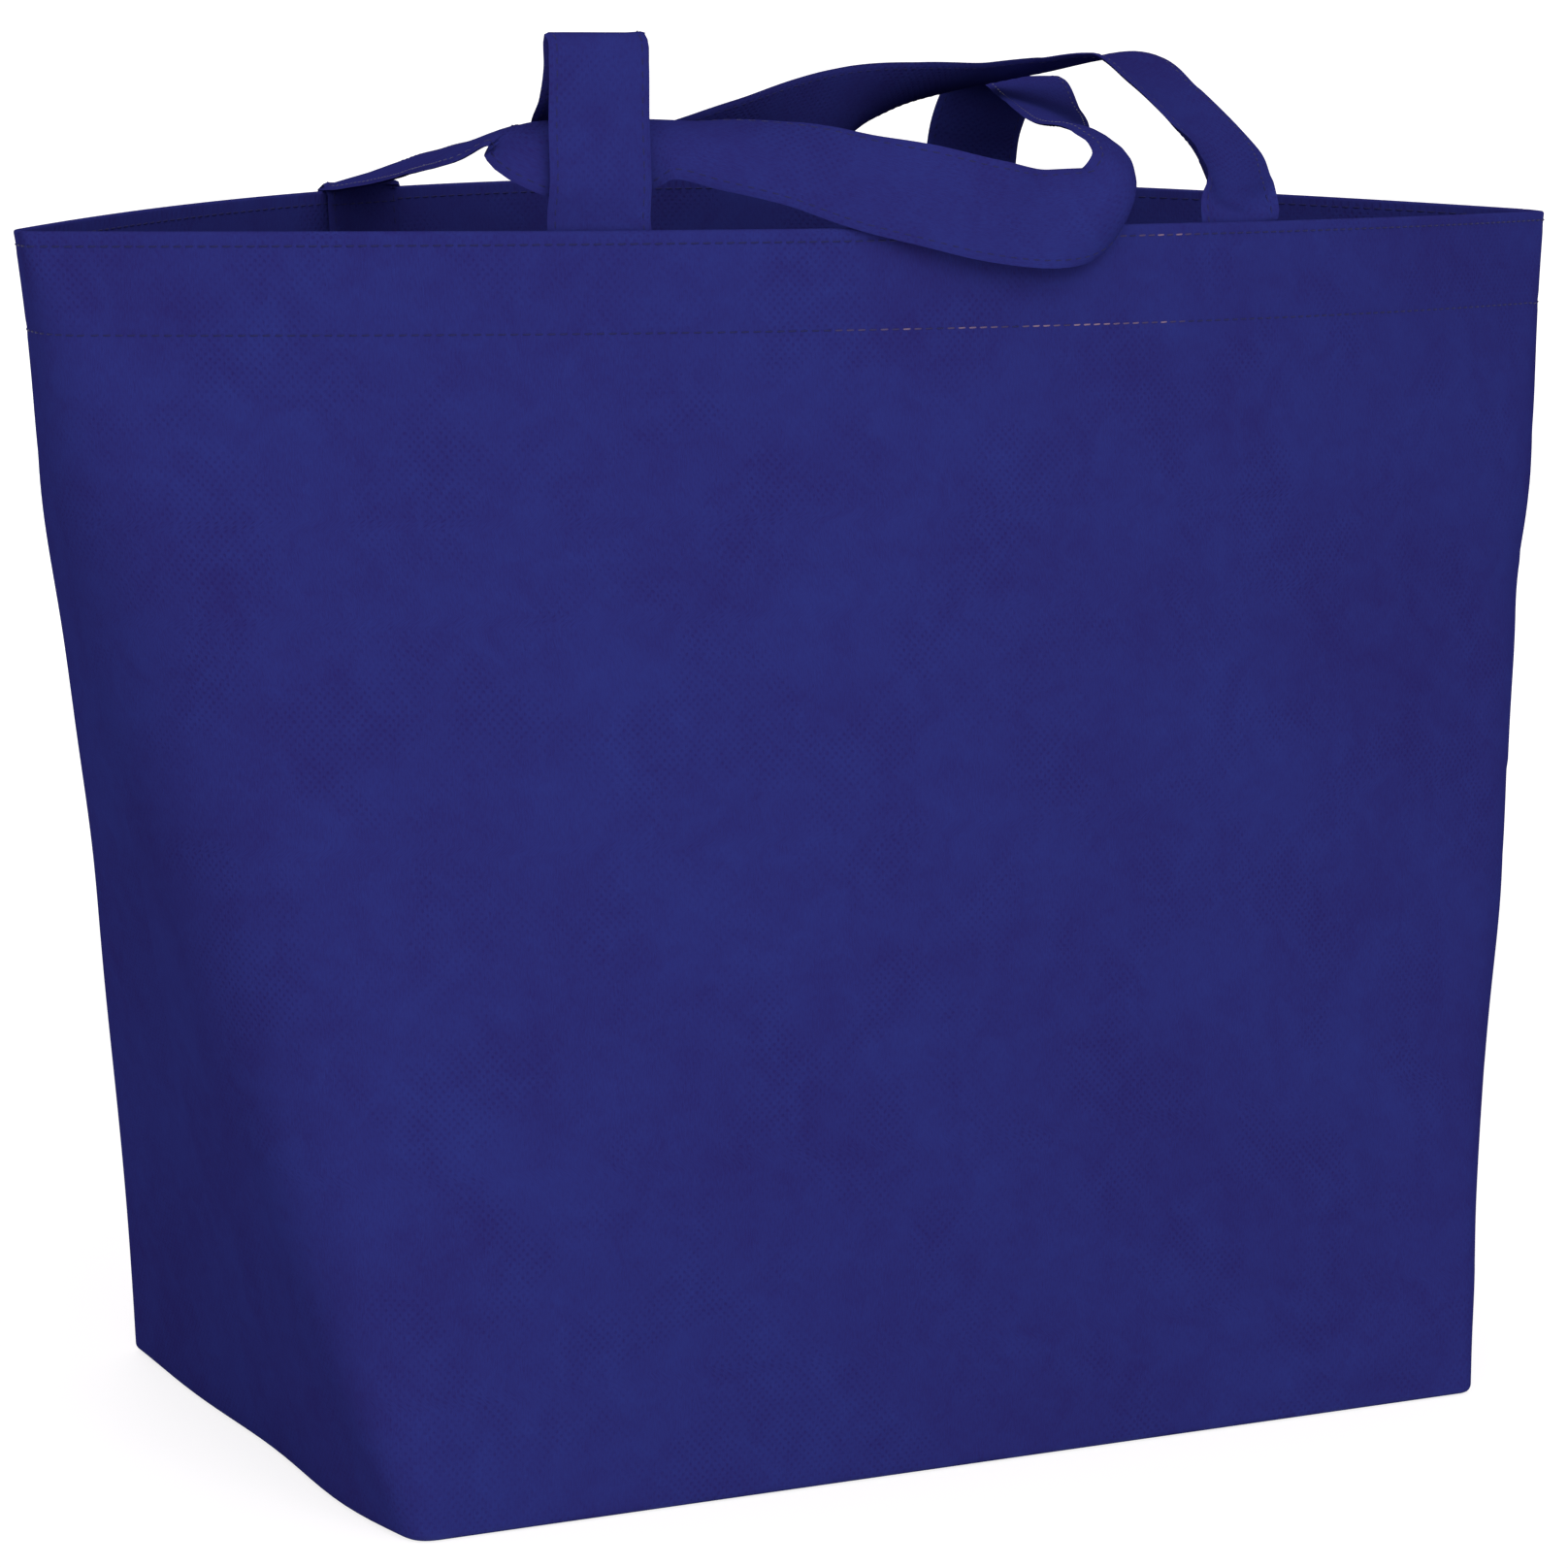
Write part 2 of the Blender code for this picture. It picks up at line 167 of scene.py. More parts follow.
@dataclass(frozen=True)
class ToteForm:
    """Driving sizes of the bag, and the shape that they give."""

    base_width: float = 0.303
    base_depth: float = 0.200
    height: float = 0.3083
    mouth_width: float = 0.434
    bow_front: float = 0.072
    bow_back: float = 0.107
    mouth_corner: float = 0.008
    rise_front: float = 0.003
    rise_back: float = 0.0045
    cloth: float = 0.0006
    shift: tuple[float, float] = (0.0066, -0.0038)
    turn: float = radians(-1.5)
    tilt: float = 0.0038
    panel_belly: float = 0.003
    edge_belly: float = 0.003
    shoulder: float = 0.0025
    shoulder_level: float = 0.79
    waist: float = 0.0013
    waist_level: float = 0.48
    swell_reach: float = 0.10
    side_belly: float = 0.0025
    side_sag_height: float = 0.05
    side_sags: tuple[tuple[float, float], ...] = ((-0.70, 0.0050), (0.45, 0.0022))
    side_sag_reach: float = 0.50
    soft_round: float = 0.032
    front_round: float = 0.018
    back_round: float = 0.017
    base_round: float = 0.002
    base_softness: float = 0.22
    edge_fade: float = 0.12
    widest_share: float = 0.9
    seam_room: float = 4.0
    seam_half: float = 1.7
    seam_flat: float = 0.4
    hem_depth: float = 0.0254
    hem_air: float = 0.0004
    seam_allowance: float = 0.007
    seam_fade: float = 0.006
    panel_steps: int = 116
    edge_steps: int = 8
    half_side_steps: int = 12
    seam_calm: float = 0.035
    ripple: float = 0.0006
    ripple_size: float = 0.075
    ripple_stretch: float = 0.7
    ripple_gap: float = 0.9
    base_calm: float = 0.012
    hem_calm: float = 0.05
    hem_dents: float = 0.35
    hem_ripple: float = 0.3
    dents: tuple[Dent, ...] = DENTS

    @property
    def fold_radius(self) -> float:
        """Radius of the hem's fold, on the outside of the cloth."""
        return self.cloth + self.hem_air / 2

    def bow(self, panel: Panel) -> float:
        """How far the middle of a panel's mouth edge stands out."""
        return self.bow_front if panel is Panel.FRONT else self.bow_back

    def rise(self, panel: Panel) -> float:
        """How far the middle of a panel's mouth edge rises."""
        return self.rise_front if panel is Panel.FRONT else self.rise_back

    def half_size(self, level: float) -> tuple[float, float]:
        """Half width and half depth of the box section at a share of the height.

        Args:
            level: Share of the bag's height.

        Returns:
            Half width and half depth.
        """
        shoulder = self.shoulder * hump(level - self.shoulder_level, self.swell_reach)
        waist = self.waist * hump(level - self.waist_level, self.swell_reach)
        return (blend(self.base_width, self.mouth_width, level) / 2
                + self.edge_belly * sin(pi * level) + shoulder - waist,
                blend(self.base_depth, self.mouth_corner, level) / 2)

    def edge_round(self, panel: Panel, side: Side, level: float) -> float:
        """Roundness of a panel's upright edge, which is sharp at the base.

        Args:
            panel: Panel that the edge bounds.
            side: Side of that edge.
            level: Share of the bag's height.

        Returns:
            Distance from the corner at which the rounding starts.
        """
        rise = min(level * self.height / self.edge_fade, 1.0)
        softness = blend(self.base_softness, 1.0, sin(pi / 2 * rise))
        widest = self.front_round if panel is Panel.FRONT else self.back_round
        if panel is Panel.FRONT and side is Side.LEFT:
            widest = self.soft_round
        room = self.half_size(level)[1] - self.seam_room * self.cloth
        return min(widest * softness, self.widest_share * room)

    def panel_place(self, across: float, level: float, panel: Panel) -> Vector:
        """Plan position on a panel, from -1 at its left edge to 1 at its right one.

        Args:
            across: Place across the panel.
            level: Share of the bag's height.
            panel: The panel.

        Returns:
            The position, before the bag leans.
        """
        half_width, half_depth = self.half_size(level)
        bow = self.bow(panel) * level + self.panel_belly * sin(pi * level)
        return Vector((across * half_width,
                       panel.value * (half_depth + bow * (1 - across * across))))

    def side_place(self, along: float, level: float, side: Side) -> Vector:
        """Plan position on a side, from -1 at its front edge to 1 at its back one.

        Args:
            along: Place along the side.
            level: Share of the bag's height.
            side: The side.

        Returns:
            The position, before the bag leans.
        """
        half_width, half_depth = self.half_size(level)
        low = max(0.0, 1 - level * self.height / self.side_sag_height) ** 2
        sag = sum(swell * hump(along - place, self.side_sag_reach)
                  for place, swell in self.side_sags)
        belly = (self.side_belly * sin(pi * level) * (1 - along ** 2)
                 + low * sag * (1 - along ** 4))
        return Vector((side.value * (half_width + belly), along * half_depth))

    def soft_edge(self, before: Vector, corner: Vector, after: Vector) -> list[Vector]:
        """Inner points of a soft upright edge that rounds off a corner.

        Args:
            before: Place where the rounding starts.
            corner: The sharp corner.
            after: Place where the rounding ends.

        Returns:
            Points between the two places.
        """
        points = []
        for step in range(1, self.edge_steps):
            share = step / self.edge_steps
            points.append(before * (1 - share) ** 2 + corner * 2 * share * (1 - share)
                          + after * share ** 2)
        return points

    def outline(self, level: float) -> list[OutlinePoint]:
        """Outline of the bag's outside, without its dents.

        Args:
            level: Share of the bag's height.

        Returns:
            Points counterclockwise from the front's left, with their places on the cloth.
        """
        half_width, half_depth = self.half_size(level)
        seam = self.seam_half * self.cloth / half_depth
        points: list[OutlinePoint] = []
        for panel, side in ((Panel.FRONT, Side.RIGHT), (Panel.BACK, Side.LEFT)):
            other = Panel.BACK if panel is Panel.FRONT else Panel.FRONT
            front, right = panel.value, side.value
            behind = Side.LEFT if side is Side.RIGHT else Side.RIGHT
            near = self.edge_round(panel, side, level)
            start_round = self.edge_round(panel, behind, level)
            far = self.edge_round(other, side, level)
            for step in range(self.panel_steps + 1):
                across = right * blend(-1 + start_round / half_width, 1 - near / half_width,
                                       step / self.panel_steps)
                points.append(OutlinePoint(self.panel_place(across, level, panel),
                                           panel, across, False))
            first = front * (1 - near / half_depth)
            last = -front * (1 - far / half_depth)
            corner = Vector((right * half_width, front * half_depth))
            start = self.side_place(first, level, side)
            for place in self.soft_edge(points[-1].place, corner, start):
                points.append(OutlinePoint(place, panel, right, False))
            for step in range(self.half_side_steps):
                along = blend(first, front * 2 * seam, step / self.half_side_steps)
                points.append(OutlinePoint(self.side_place(along, level, side),
                                           panel, right, False))
            for share in (1.0, self.seam_flat, -self.seam_flat, -1.0):
                kept = panel if share > 0 else other
                points.append(OutlinePoint(self.side_place(front * share * seam, level, side),
                                           kept, right, True))
            for step in range(1, self.half_side_steps + 1):
                along = blend(-front * 2 * seam, last, step / self.half_side_steps)
                points.append(OutlinePoint(self.side_place(along, level, side),
                                           other, right, False))
            corner = Vector((right * half_width, -front * half_depth))
            end = self.panel_place(right * (1 - far / half_width), level, other)
            for place in self.soft_edge(points[-1].place, corner, end):
                points.append(OutlinePoint(place, other, right, False))
        return self.measured(points)

    def measured(self, points: list[OutlinePoint]) -> list[OutlinePoint]:
        """The same points with their distance from the middle of their panel on the cloth.

        Args:
            points: Points of an outline, in order.

        Returns:
            The points, with their cuts filled in.
        """
        middles = {panel: min((abs(p.across), i) for i, p in enumerate(points)
                              if p.panel is panel)[1] for panel in Panel}
        cuts = [0.0] * len(points)
        count = len(points)
        for panel, middle in middles.items():
            for way in (1, -1):
                length = 0.0
                index = middle
                while True:
                    ahead = (index + way) % count
                    if points[ahead].panel is not panel:
                        break
                    length += (points[ahead].place - points[index].place).length
                    cuts[ahead] = -panel.value * way * length
                    index = ahead
        return [OutlinePoint(p.place, p.panel, p.across, p.on_seam, cut)
                for p, cut in zip(points, cuts)]

    def softness(self, panel: Panel, cut: float, height: float) -> float:
        """How far the soft cloth stands out from its smooth form.

        Args:
            panel: Panel of the place.
            cut: Place across the cloth, from the panel's middle.
            height: Height above the floor.

        Returns:
            Distance outward, in metres, which fades out at the base and at the hem.
        """
        dents = sum(dent.at(cut, height) for dent in self.dents if dent.panel is panel)
        spot = Vector((cut, height * self.ripple_stretch, panel.value * self.ripple_gap))
        ripple = self.ripple * noise.noise(spot / self.ripple_size)
        fade = ease(height / self.base_calm)
        hem = ease((self.height - height) / self.hem_calm)
        return (dents * blend(self.hem_dents, 1.0, hem)
                + ripple * blend(self.hem_ripple, 1.0, hem)) * fade

    def lean(self, place: Vector, level: float) -> Vector:
        """Plan position turned and shifted as the soft bag leans, more so low down.

        Args:
            place: Plan position.
            level: Share of the bag's height.

        Returns:
            The position in the leaning bag.
        """
        growth = sin(pi / 2 * level)
        angle = self.turn * growth
        turned = Vector((place.x * cos(angle) - place.y * sin(angle),
                         place.x * sin(angle) + place.y * cos(angle)))
        return turned + Vector(self.shift) * growth

    def height_at(self, level: float, panel: Panel, across: float) -> float:
        """Height of a point of the wall, whose top edge rises in the middle of each panel."""
        rise = self.rise(panel) * (1 - across * across)
        return level * (self.height - self.tilt * across + rise)

    def level_below(self, drop: float) -> float:
        """Share of the height that lies this far below the mouth's edge."""
        return 1 - drop / self.height

    def ring(self, level: float, inset: float, seam_depth: float = 0.0) -> "Ring":
        """Closed ring of the wall at one level.

        Args:
            level: Share of the bag's height.
            inset: How far it lies in from the outside.
            seam_depth: How far the side seams' allowances stand in from it.

        Returns:
            The ring's points and their places on the cloth.
        """
        outline = self.outline(level)
        count = len(outline)
        normals = []
        ends = {(panel, right): max(abs(p.cut) for p in outline
                                    if p.panel is panel and (p.cut > 0) is right)
                for panel in Panel for right in (True, False)}
        for index, point in enumerate(outline):
            before = (point.place - outline[index - 1].place).normalized()
            after = (outline[(index + 1) % count].place - point.place).normalized()
            inward = Vector((-before.y - after.y, before.x + after.x)).normalized()
            miter = max(0.5, inward.dot(Vector((-before.y, before.x))))
            normals.append((inward, miter))
        points = []
        for index, (point, (inward, miter)) in enumerate(zip(outline, normals)):
            swell = self.softness(point.panel, point.cut, level * self.height)
            seam_gap = ends[(point.panel, point.cut > 0)] - abs(point.cut)
            swell *= ease(seam_gap / self.seam_calm)
            moved = point.place + inward * (inset / miter - swell)
            if (point.on_seam and outline[index - 1].on_seam
                    and outline[(index + 1) % count].on_seam):
                moved = moved + Vector((-point.across * seam_depth, 0))
            leaning = self.lean(moved, level)
            points.append(Vector((leaning.x, leaning.y,
                                  self.height_at(level, point.panel, point.across))))
        return Ring(points, [(p.panel, p.cut, p.across) for p in outline], level * self.height)


@dataclass
class Ring:
    """A ring of the cloth.

    Attributes:
        points: Its points in space.
        spots: Panel, place on the cloth and place across the panel of each point.
        along: Its place along the cloth, from the base's edge upward.
        wear: How rubbed the cloth is there, from 0 to 1.
    """

    points: list[Vector]
    spots: list[tuple[Panel, float, float]]
    along: float
    wear: float = 0.0


# Finishes


class Nodes:
    """The nodes of a material or a world, added in short calls."""

    def __init__(self, owner: bpy.types.Material | bpy.types.World,
                 shader: str = "Principled BSDF") -> None:
        """Switch on the owner's nodes and find its shader.

        Args:
            owner: Material or world that has the nodes.
            shader: Name of its shader node.
        """
        owner.use_nodes = True
        self.owner = owner
        self.tree = owner.node_tree
        self.shader = self.tree.nodes[shader]

    def set(self, **inputs: object) -> None:
        """Feed the shader's inputs, whose names have underscores for spaces."""
        for name, value in inputs.items():
            self.feed(self.shader.inputs[name.replace("_", " ")], value)

    def add(self, kind: str, inputs: dict | None = None, **settings: object) -> bpy.types.Node:
        """Add a node.

        Args:
            kind: The node's type, without ShaderNode.
            inputs: Values or sockets for its inputs, by name or index.
            settings: Its properties.

        Returns:
            The node.
        """
        node = self.tree.nodes.new("ShaderNode" + kind)
        for key, value in settings.items():
            setattr(node, key, value)
        for key, value in (inputs or {}).items():
            self.feed(node.inputs[key], value)
        return node

    def feed(self, socket: bpy.types.NodeSocket, value: object) -> None:
        """Link a socket to an input, or set the input's own value.

        Args:
            socket: The input.
            value: A socket to link or a value.
        """
        if isinstance(value, bpy.types.NodeSocket):
            self.tree.links.new(value, socket)
        else:
            socket.default_value = value

    def math(self, operation: str, *values: object, clamped: bool = False) -> bpy.types.NodeSocket:
        """Result of a Math node on sockets or numbers.

        Args:
            operation: Name of the operation.
            values: Sockets or numbers, in order.
            clamped: Whether the result stays between 0 and 1.

        Returns:
            The result's socket.
        """
        node = self.add("Math", dict(enumerate(values)), operation=operation)
        node.use_clamp = clamped
        return node.outputs[0]

    def ramp(self, value: object, low: float, high: float,
             start: float = 0.0, end: float = 1.0) -> bpy.types.NodeSocket:
        """Value mapped smoothly from low..high onto start..end.

        Args:
            value: The value's socket.
            low: Value that gives the start.
            high: Value that gives the end.
            start: Result at the low value.
            end: Result at the high value.

        Returns:
            The result's socket.
        """
        node = self.add("MapRange", {"Value": value, "From Min": low, "From Max": high,
                                     "To Min": start, "To Max": end},
                        interpolation_type="SMOOTHSTEP")
        return node.outputs["Result"]

    def total(self, values: Sequence[object], weights: Sequence[float]) -> bpy.types.NodeSocket:
        """Sum of the values, each times its weight.

        Args:
            values: Sockets or numbers.
            weights: A weight for each.

        Returns:
            The sum's socket.
        """
        parts = [self.math("MULTIPLY", value, weight) for value, weight in zip(values, weights)]
        whole = parts[0]
        for part in parts[1:]:
            whole = self.math("ADD", whole, part)
        return whole

    def tint(self, share: object, first: object, second: object) -> bpy.types.NodeSocket:
        """Colour that lies a share of the way from the first to the second.

        Args:
            share: The share's socket.
            first: Colour at 0.
            second: Colour at 1.

        Returns:
            The colour's socket.
        """
        node = self.add("Mix", data_type="RGBA")
        self.feed(node.inputs["Factor"], share)
        self.feed(node.inputs["A"], first)
        self.feed(node.inputs["B"], second)
        return node.outputs["Result"]

    def cloud(self, vector: bpy.types.NodeSocket, size: float, detail: float = 2.0,
              distortion: float = 0.0) -> bpy.types.NodeSocket:
        """Soft noise whose patches are about that size.

        Args:
            vector: Place that is read.
            size: Size of a patch.
            detail: Number of finer layers.
            distortion: How far the patches are bent.

        Returns:
            The noise's socket, about 0.5 on average.
        """
        node = self.add("TexNoise", {"Vector": vector, "Scale": 1 / size, "Detail": detail,
                                     "Distortion": distortion})
        return node.outputs["Fac"]


@dataclass(frozen=True)
class EmbossedCloth:
    """Spunbond cloth that small heated points have bonded in a diamond lattice.

    Attributes:
        name: The material's name.
        lit: Colour of its open, fluffy stretches.
        deep: Colour of its denser stretches.
        worn: Colour where it is rubbed.
        lattice: Distance between bond points in a row.
        point: Radius of a bond point.
        unevenness: How far the rows of bond points wander.
        fluff: Roughness of the fibres.
        bond: Roughness of the bond points.
        patch_size: Size of the wide patches of uneven density.
        cloud_size: Size of the small clouds of uneven density.
        press_size: Size of the stretches that are pressed more or less deeply.
        weights: How much the patches, clouds, fibres and bond points change the colour.
        relief: How much the fibres, bond points and clouds stand out, in millimetres.
        press: Noise at which the pressing starts and is full, and its least and full depth.
        drift_size: Size of the noise that moves the bond points.
        point_edge: Where a bond point's edge starts and ends, as shares of its radius.
        fibre_turns: Directions of the fibres, in degrees.
        fibre_size: Width of a fibre.
        fibre_stretch: Its width as a share of its length.
        fibre_level: Usual value of the fibres' noise.
        gloss: Specular level.
    """

    name: str
    lit: Colour = (0.0222, 0.0325, 0.182, 1.0)
    deep: Colour = (0.0190, 0.0165, 0.112, 1.0)
    worn: Colour = (0.045, 0.060, 0.235, 1.0)
    lattice: float = 0.0022
    point: float = 0.00040
    unevenness: float = 0.0007
    fluff: float = 0.85
    bond: float = 0.55
    patch_size: float = 0.055
    cloud_size: float = 0.009
    press_size: float = 0.030
    weights: tuple[float, float, float, float] = (0.75, 0.6, 1.6, -0.28)
    relief: tuple[float, float, float] = (0.05, -0.09, 0.10)
    press: tuple[float, float, float, float] = (0.40, 0.66, 0.15, 1.0)
    drift_size: float = 0.0026
    point_edge: tuple[float, float] = (0.45, 1.35)
    fibre_turns: tuple[float, float, float] = (20, 80, 140)
    fibre_size: float = 0.00028
    fibre_stretch: float = 0.14
    fibre_level: float = 0.62
    gloss: float = 0.0

    def build(self) -> bpy.types.Material:
        """Make the material, which reads the piece's own cloth map in metres.

        Returns:
            The material.
        """
        nodes = Nodes(bpy.data.materials.new(self.name))
        flat = nodes.add("UVMap", uv_map=CLOTH_MAP).outputs["UV"]
        fibres = self.fibres(nodes, flat)
        patches = nodes.cloud(flat, self.patch_size, 3.0, 0.4)
        clouds = nodes.cloud(flat, self.cloud_size, 4.0, 0.8)
        pressed = nodes.ramp(nodes.cloud(flat, self.press_size, 3.0, 0.6), *self.press)
        points = nodes.math("MULTIPLY", self.bond_points(nodes, flat), pressed)
        levels = [nodes.math("SUBTRACT", value, middle)
                  for value, middle in ((patches, 0.5), (clouds, 0.5), (fibres, self.fibre_level))]
        density = nodes.total((*levels, points), self.weights)
        share = nodes.math("ADD", density, 0.5, clamped=True)
        colour = nodes.tint(share, self.deep, self.lit)
        wear = nodes.add("Attribute", attribute_name=WEAR).outputs["Fac"]
        rubbed = nodes.math("MULTIPLY", wear, nodes.ramp(clouds, 0.3, 0.7))
        smoothed = nodes.math("MULTIPLY", points, self.fluff - self.bond)
        height = nodes.total((fibres, points, clouds), self.relief)
        bump = nodes.add("Bump", {"Height": height, "Distance": MM, "Strength": 1.0})
        nodes.set(Base_Color=nodes.tint(rubbed, colour, self.worn),
                  Roughness=nodes.math("SUBTRACT", self.fluff, smoothed),
                  Normal=bump.outputs["Normal"], Specular_IOR_Level=self.gloss)
        return nodes.owner

    def bond_points(self, nodes: Nodes, flat: bpy.types.NodeSocket) -> bpy.types.NodeSocket:
        """Mask that is 1 in the bond points, which stand in staggered, slightly uneven rows.

        Args:
            nodes: The material's nodes.
            flat: Place on the flat cloth.

        Returns:
            The mask's socket.
        """
        drift = nodes.add("TexNoise", {"Vector": flat, "Scale": 1 / self.drift_size,
                                        "Detail": 1.0})
        moved = nodes.add("VectorMath", {0: drift.outputs["Color"], 1: (0.5, 0.5, 0.5)},
                          operation="SUBTRACT")
        moved = nodes.add("VectorMath", {0: moved.outputs["Vector"]}, operation="SCALE")
        moved.inputs["Scale"].default_value = self.unevenness
        moved = nodes.add("VectorMath", {0: flat, 1: moved.outputs["Vector"]}, operation="ADD")
        axes = nodes.add("SeparateXYZ", {"Vector": moved.outputs["Vector"]})
        across, along = axes.outputs["X"], axes.outputs["Y"]
        spans = []
        for operation in ("ADD", "SUBTRACT"):
            slant = nodes.math("DIVIDE", nodes.math(operation, across, along), self.lattice)
            part = nodes.math("SUBTRACT", nodes.math("FRACT", slant), 0.5)
            spans.append(nodes.math("MULTIPLY", part, part))
        reach = nodes.math("SQRT", nodes.math("ADD", *spans))
        away = nodes.math("MULTIPLY", reach, self.lattice / sqrt(2))
        start, end = (self.point * share for share in self.point_edge)
        return nodes.ramp(away, start, end, 1.0, 0.0)

    def fibres(self, nodes: Nodes, flat: bpy.types.NodeSocket) -> bpy.types.NodeSocket:
        """Tangle of fine fibres that lie in every direction.

        Args:
            nodes: The material's nodes.
            flat: Place on the flat cloth.

        Returns:
            Socket that is high on the fibres.
        """
        strands = []
        for turn in self.fibre_turns:
            turned = nodes.add("Mapping", {"Vector": flat, "Rotation": (0, 0, radians(turn)),
                                           "Scale": (1.0, self.fibre_stretch, 1.0)})
            strands.append(nodes.cloud(turned.outputs["Vector"], self.fibre_size, 2.0, 0.3))
        return nodes.math("MAXIMUM", nodes.math("MAXIMUM", strands[0], strands[1]), strands[2])


@dataclass(frozen=True)
class SewingThread:
    """Twisted polyester thread, navy, with a paler colour painted as glint on some stitches and
    painted shade in the grooves of its twist.
    """

    name: str = "sewing_thread"
    navy: Colour = (0.018, 0.019, 0.098, 1.0)
    # Colour painted on some stitches as glint.
    pale: Colour = (0.26, 0.18, 0.26, 1.0)
    twist: float = 0.0005
    # Value of the painted shade in the grooves between the twist's plies.
    shade: float = 0.72
    roughness: float = 0.5
    gloss: float = 0.1
    relief: float = 0.08 * MM

    def build(self) -> bpy.types.Material:
        """Make the material, which reads how much painted glint each stitch gets.

        Returns:
            The material.
        """
        nodes = Nodes(bpy.data.materials.new(self.name))
        # Painted glint: the thread turns toward a paler colour where it catches the light.
        pull = nodes.add("Attribute", attribute_name=PAINTED_GLINT).outputs["Fac"]
        flat = nodes.add("UVMap", uv_map=CLOTH_MAP).outputs["UV"]
        axes = nodes.add("SeparateXYZ", {"Vector": flat})
        slant = nodes.math("DIVIDE", nodes.math("ADD", axes.outputs["X"], axes.outputs["Y"]),
                           self.twist)
        strand = nodes.math("PINGPONG", slant, 0.5)
        colour = nodes.tint(pull, self.navy, self.pale)
        # Painted shade: the colour darkens where the twisted strand is low, in the grooves that
        # the bump sinks.
        dark = nodes.add("HueSaturation", {"Color": colour, "Value": self.shade})
        colour = nodes.tint(nodes.math("MULTIPLY", strand, 2.0), dark.outputs["Color"], colour)
        bump = nodes.add("Bump", {"Height": strand, "Distance": self.relief, "Strength": 0.8})
        nodes.set(Base_Color=colour, Roughness=self.roughness, Specular_IOR_Level=self.gloss,
                  Normal=bump.outputs["Normal"])
        return nodes.owner


# Meshes


@dataclass
class MeshSheet:
    """Vertices, faces and cloth places of a mesh that is being made."""

    points: list[Vector] = field(default_factory=list)
    faces: list[tuple[int, ...]] = field(default_factory=list)
    cloth: list[tuple[float, float]] = field(default_factory=list)
    marks: list[float] = field(default_factory=list)

    def add_points(self, points: Iterable[Vector], mark: float = 0.0) -> int:
        """Add points with their wear or painted glint, and return the first one's index.

        Args:
            points: The points.
            mark: Wear or painted glint of them all.

        Returns:
            The first one's index.
        """
        first = len(self.points)
        self.points.extend(points)
        self.marks.extend([mark] * (len(self.points) - first))
        return first

    def add_face(self, corners: Sequence[int], cloth: Sequence[tuple[float, float]]) -> None:
        """Add a face with the place of each corner on the cloth."""
        self.faces.append(tuple(corners))
        self.cloth.extend(cloth)

    def build(self, name: str, finish: bpy.types.Material, mark_name: str,
              sharp: float = 40.0) -> bpy.types.Object:
        """Make the object.

        Args:
            name: Name of the piece.
            finish: Its material.
            mark_name: Name of the attribute that its marks become.
            sharp: Angle in degrees past which an edge stays sharp.

        Returns:
            The object, at the origin.
        """
        mesh = bpy.data.meshes.new(name)
        mesh.from_pydata([tuple(point) for point in self.points], [], self.faces)
        layer = mesh.uv_layers.new(name=CLOTH_MAP)
        layer.data.foreach_set("uv", [value for spot in self.cloth for value in spot])
        mark = mesh.attributes.new(mark_name, "FLOAT", "POINT")
        mark.data.foreach_set("value", self.marks)
        mesh.validate()
        mesh.shade_smooth()
        mesh.set_sharp_from_angle(angle=radians(sharp))
        mesh.materials.append(finish)
        piece = bpy.data.objects.new(name, mesh)
        bpy.context.scene.collection.objects.link(piece)
        return piece


def settle(piece: bpy.types.Object, slot: str | None = None, *stands_for: str) -> None:
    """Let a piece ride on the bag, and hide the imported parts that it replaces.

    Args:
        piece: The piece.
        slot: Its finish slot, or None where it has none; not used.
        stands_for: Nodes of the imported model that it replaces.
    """
    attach(piece, "root")
    if stands_for:
        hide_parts(*stands_for)
    log.info("%s: %d faces", piece.name, len(piece.data.polygons))


@dataclass
class StitchRow:
    """A row of lockstitches along a line on the cloth.

    Attributes:
        line: Points of the line, on the surface.
        facing: The surface's outward normal at each point.
        pitch: Length of a stitch with its gap.
        pull: Function that gives the share of painted glint at a place.
    """

    line: Sequence[Vector]
    facing: Sequence[Vector]
    pitch: float = 0.003
    pull: Callable[[Vector], float] = lambda place: 0.0

    def spots(self) -> list[tuple[Vector, Vector, Vector]]:
        """Middle, heading and facing of each stitch.

        Returns:
            Middle, heading and facing of each stitch, in order.
        """
        found = []
        carried = self.pitch / 2
        for here, there, face in zip(self.line, self.line[1:], self.facing):
            step = there - here
            length = step.length
            while carried < length:
                found.append((here + step * (carried / length), step / length, face))
                carried += self.pitch
            carried -= length
        return found


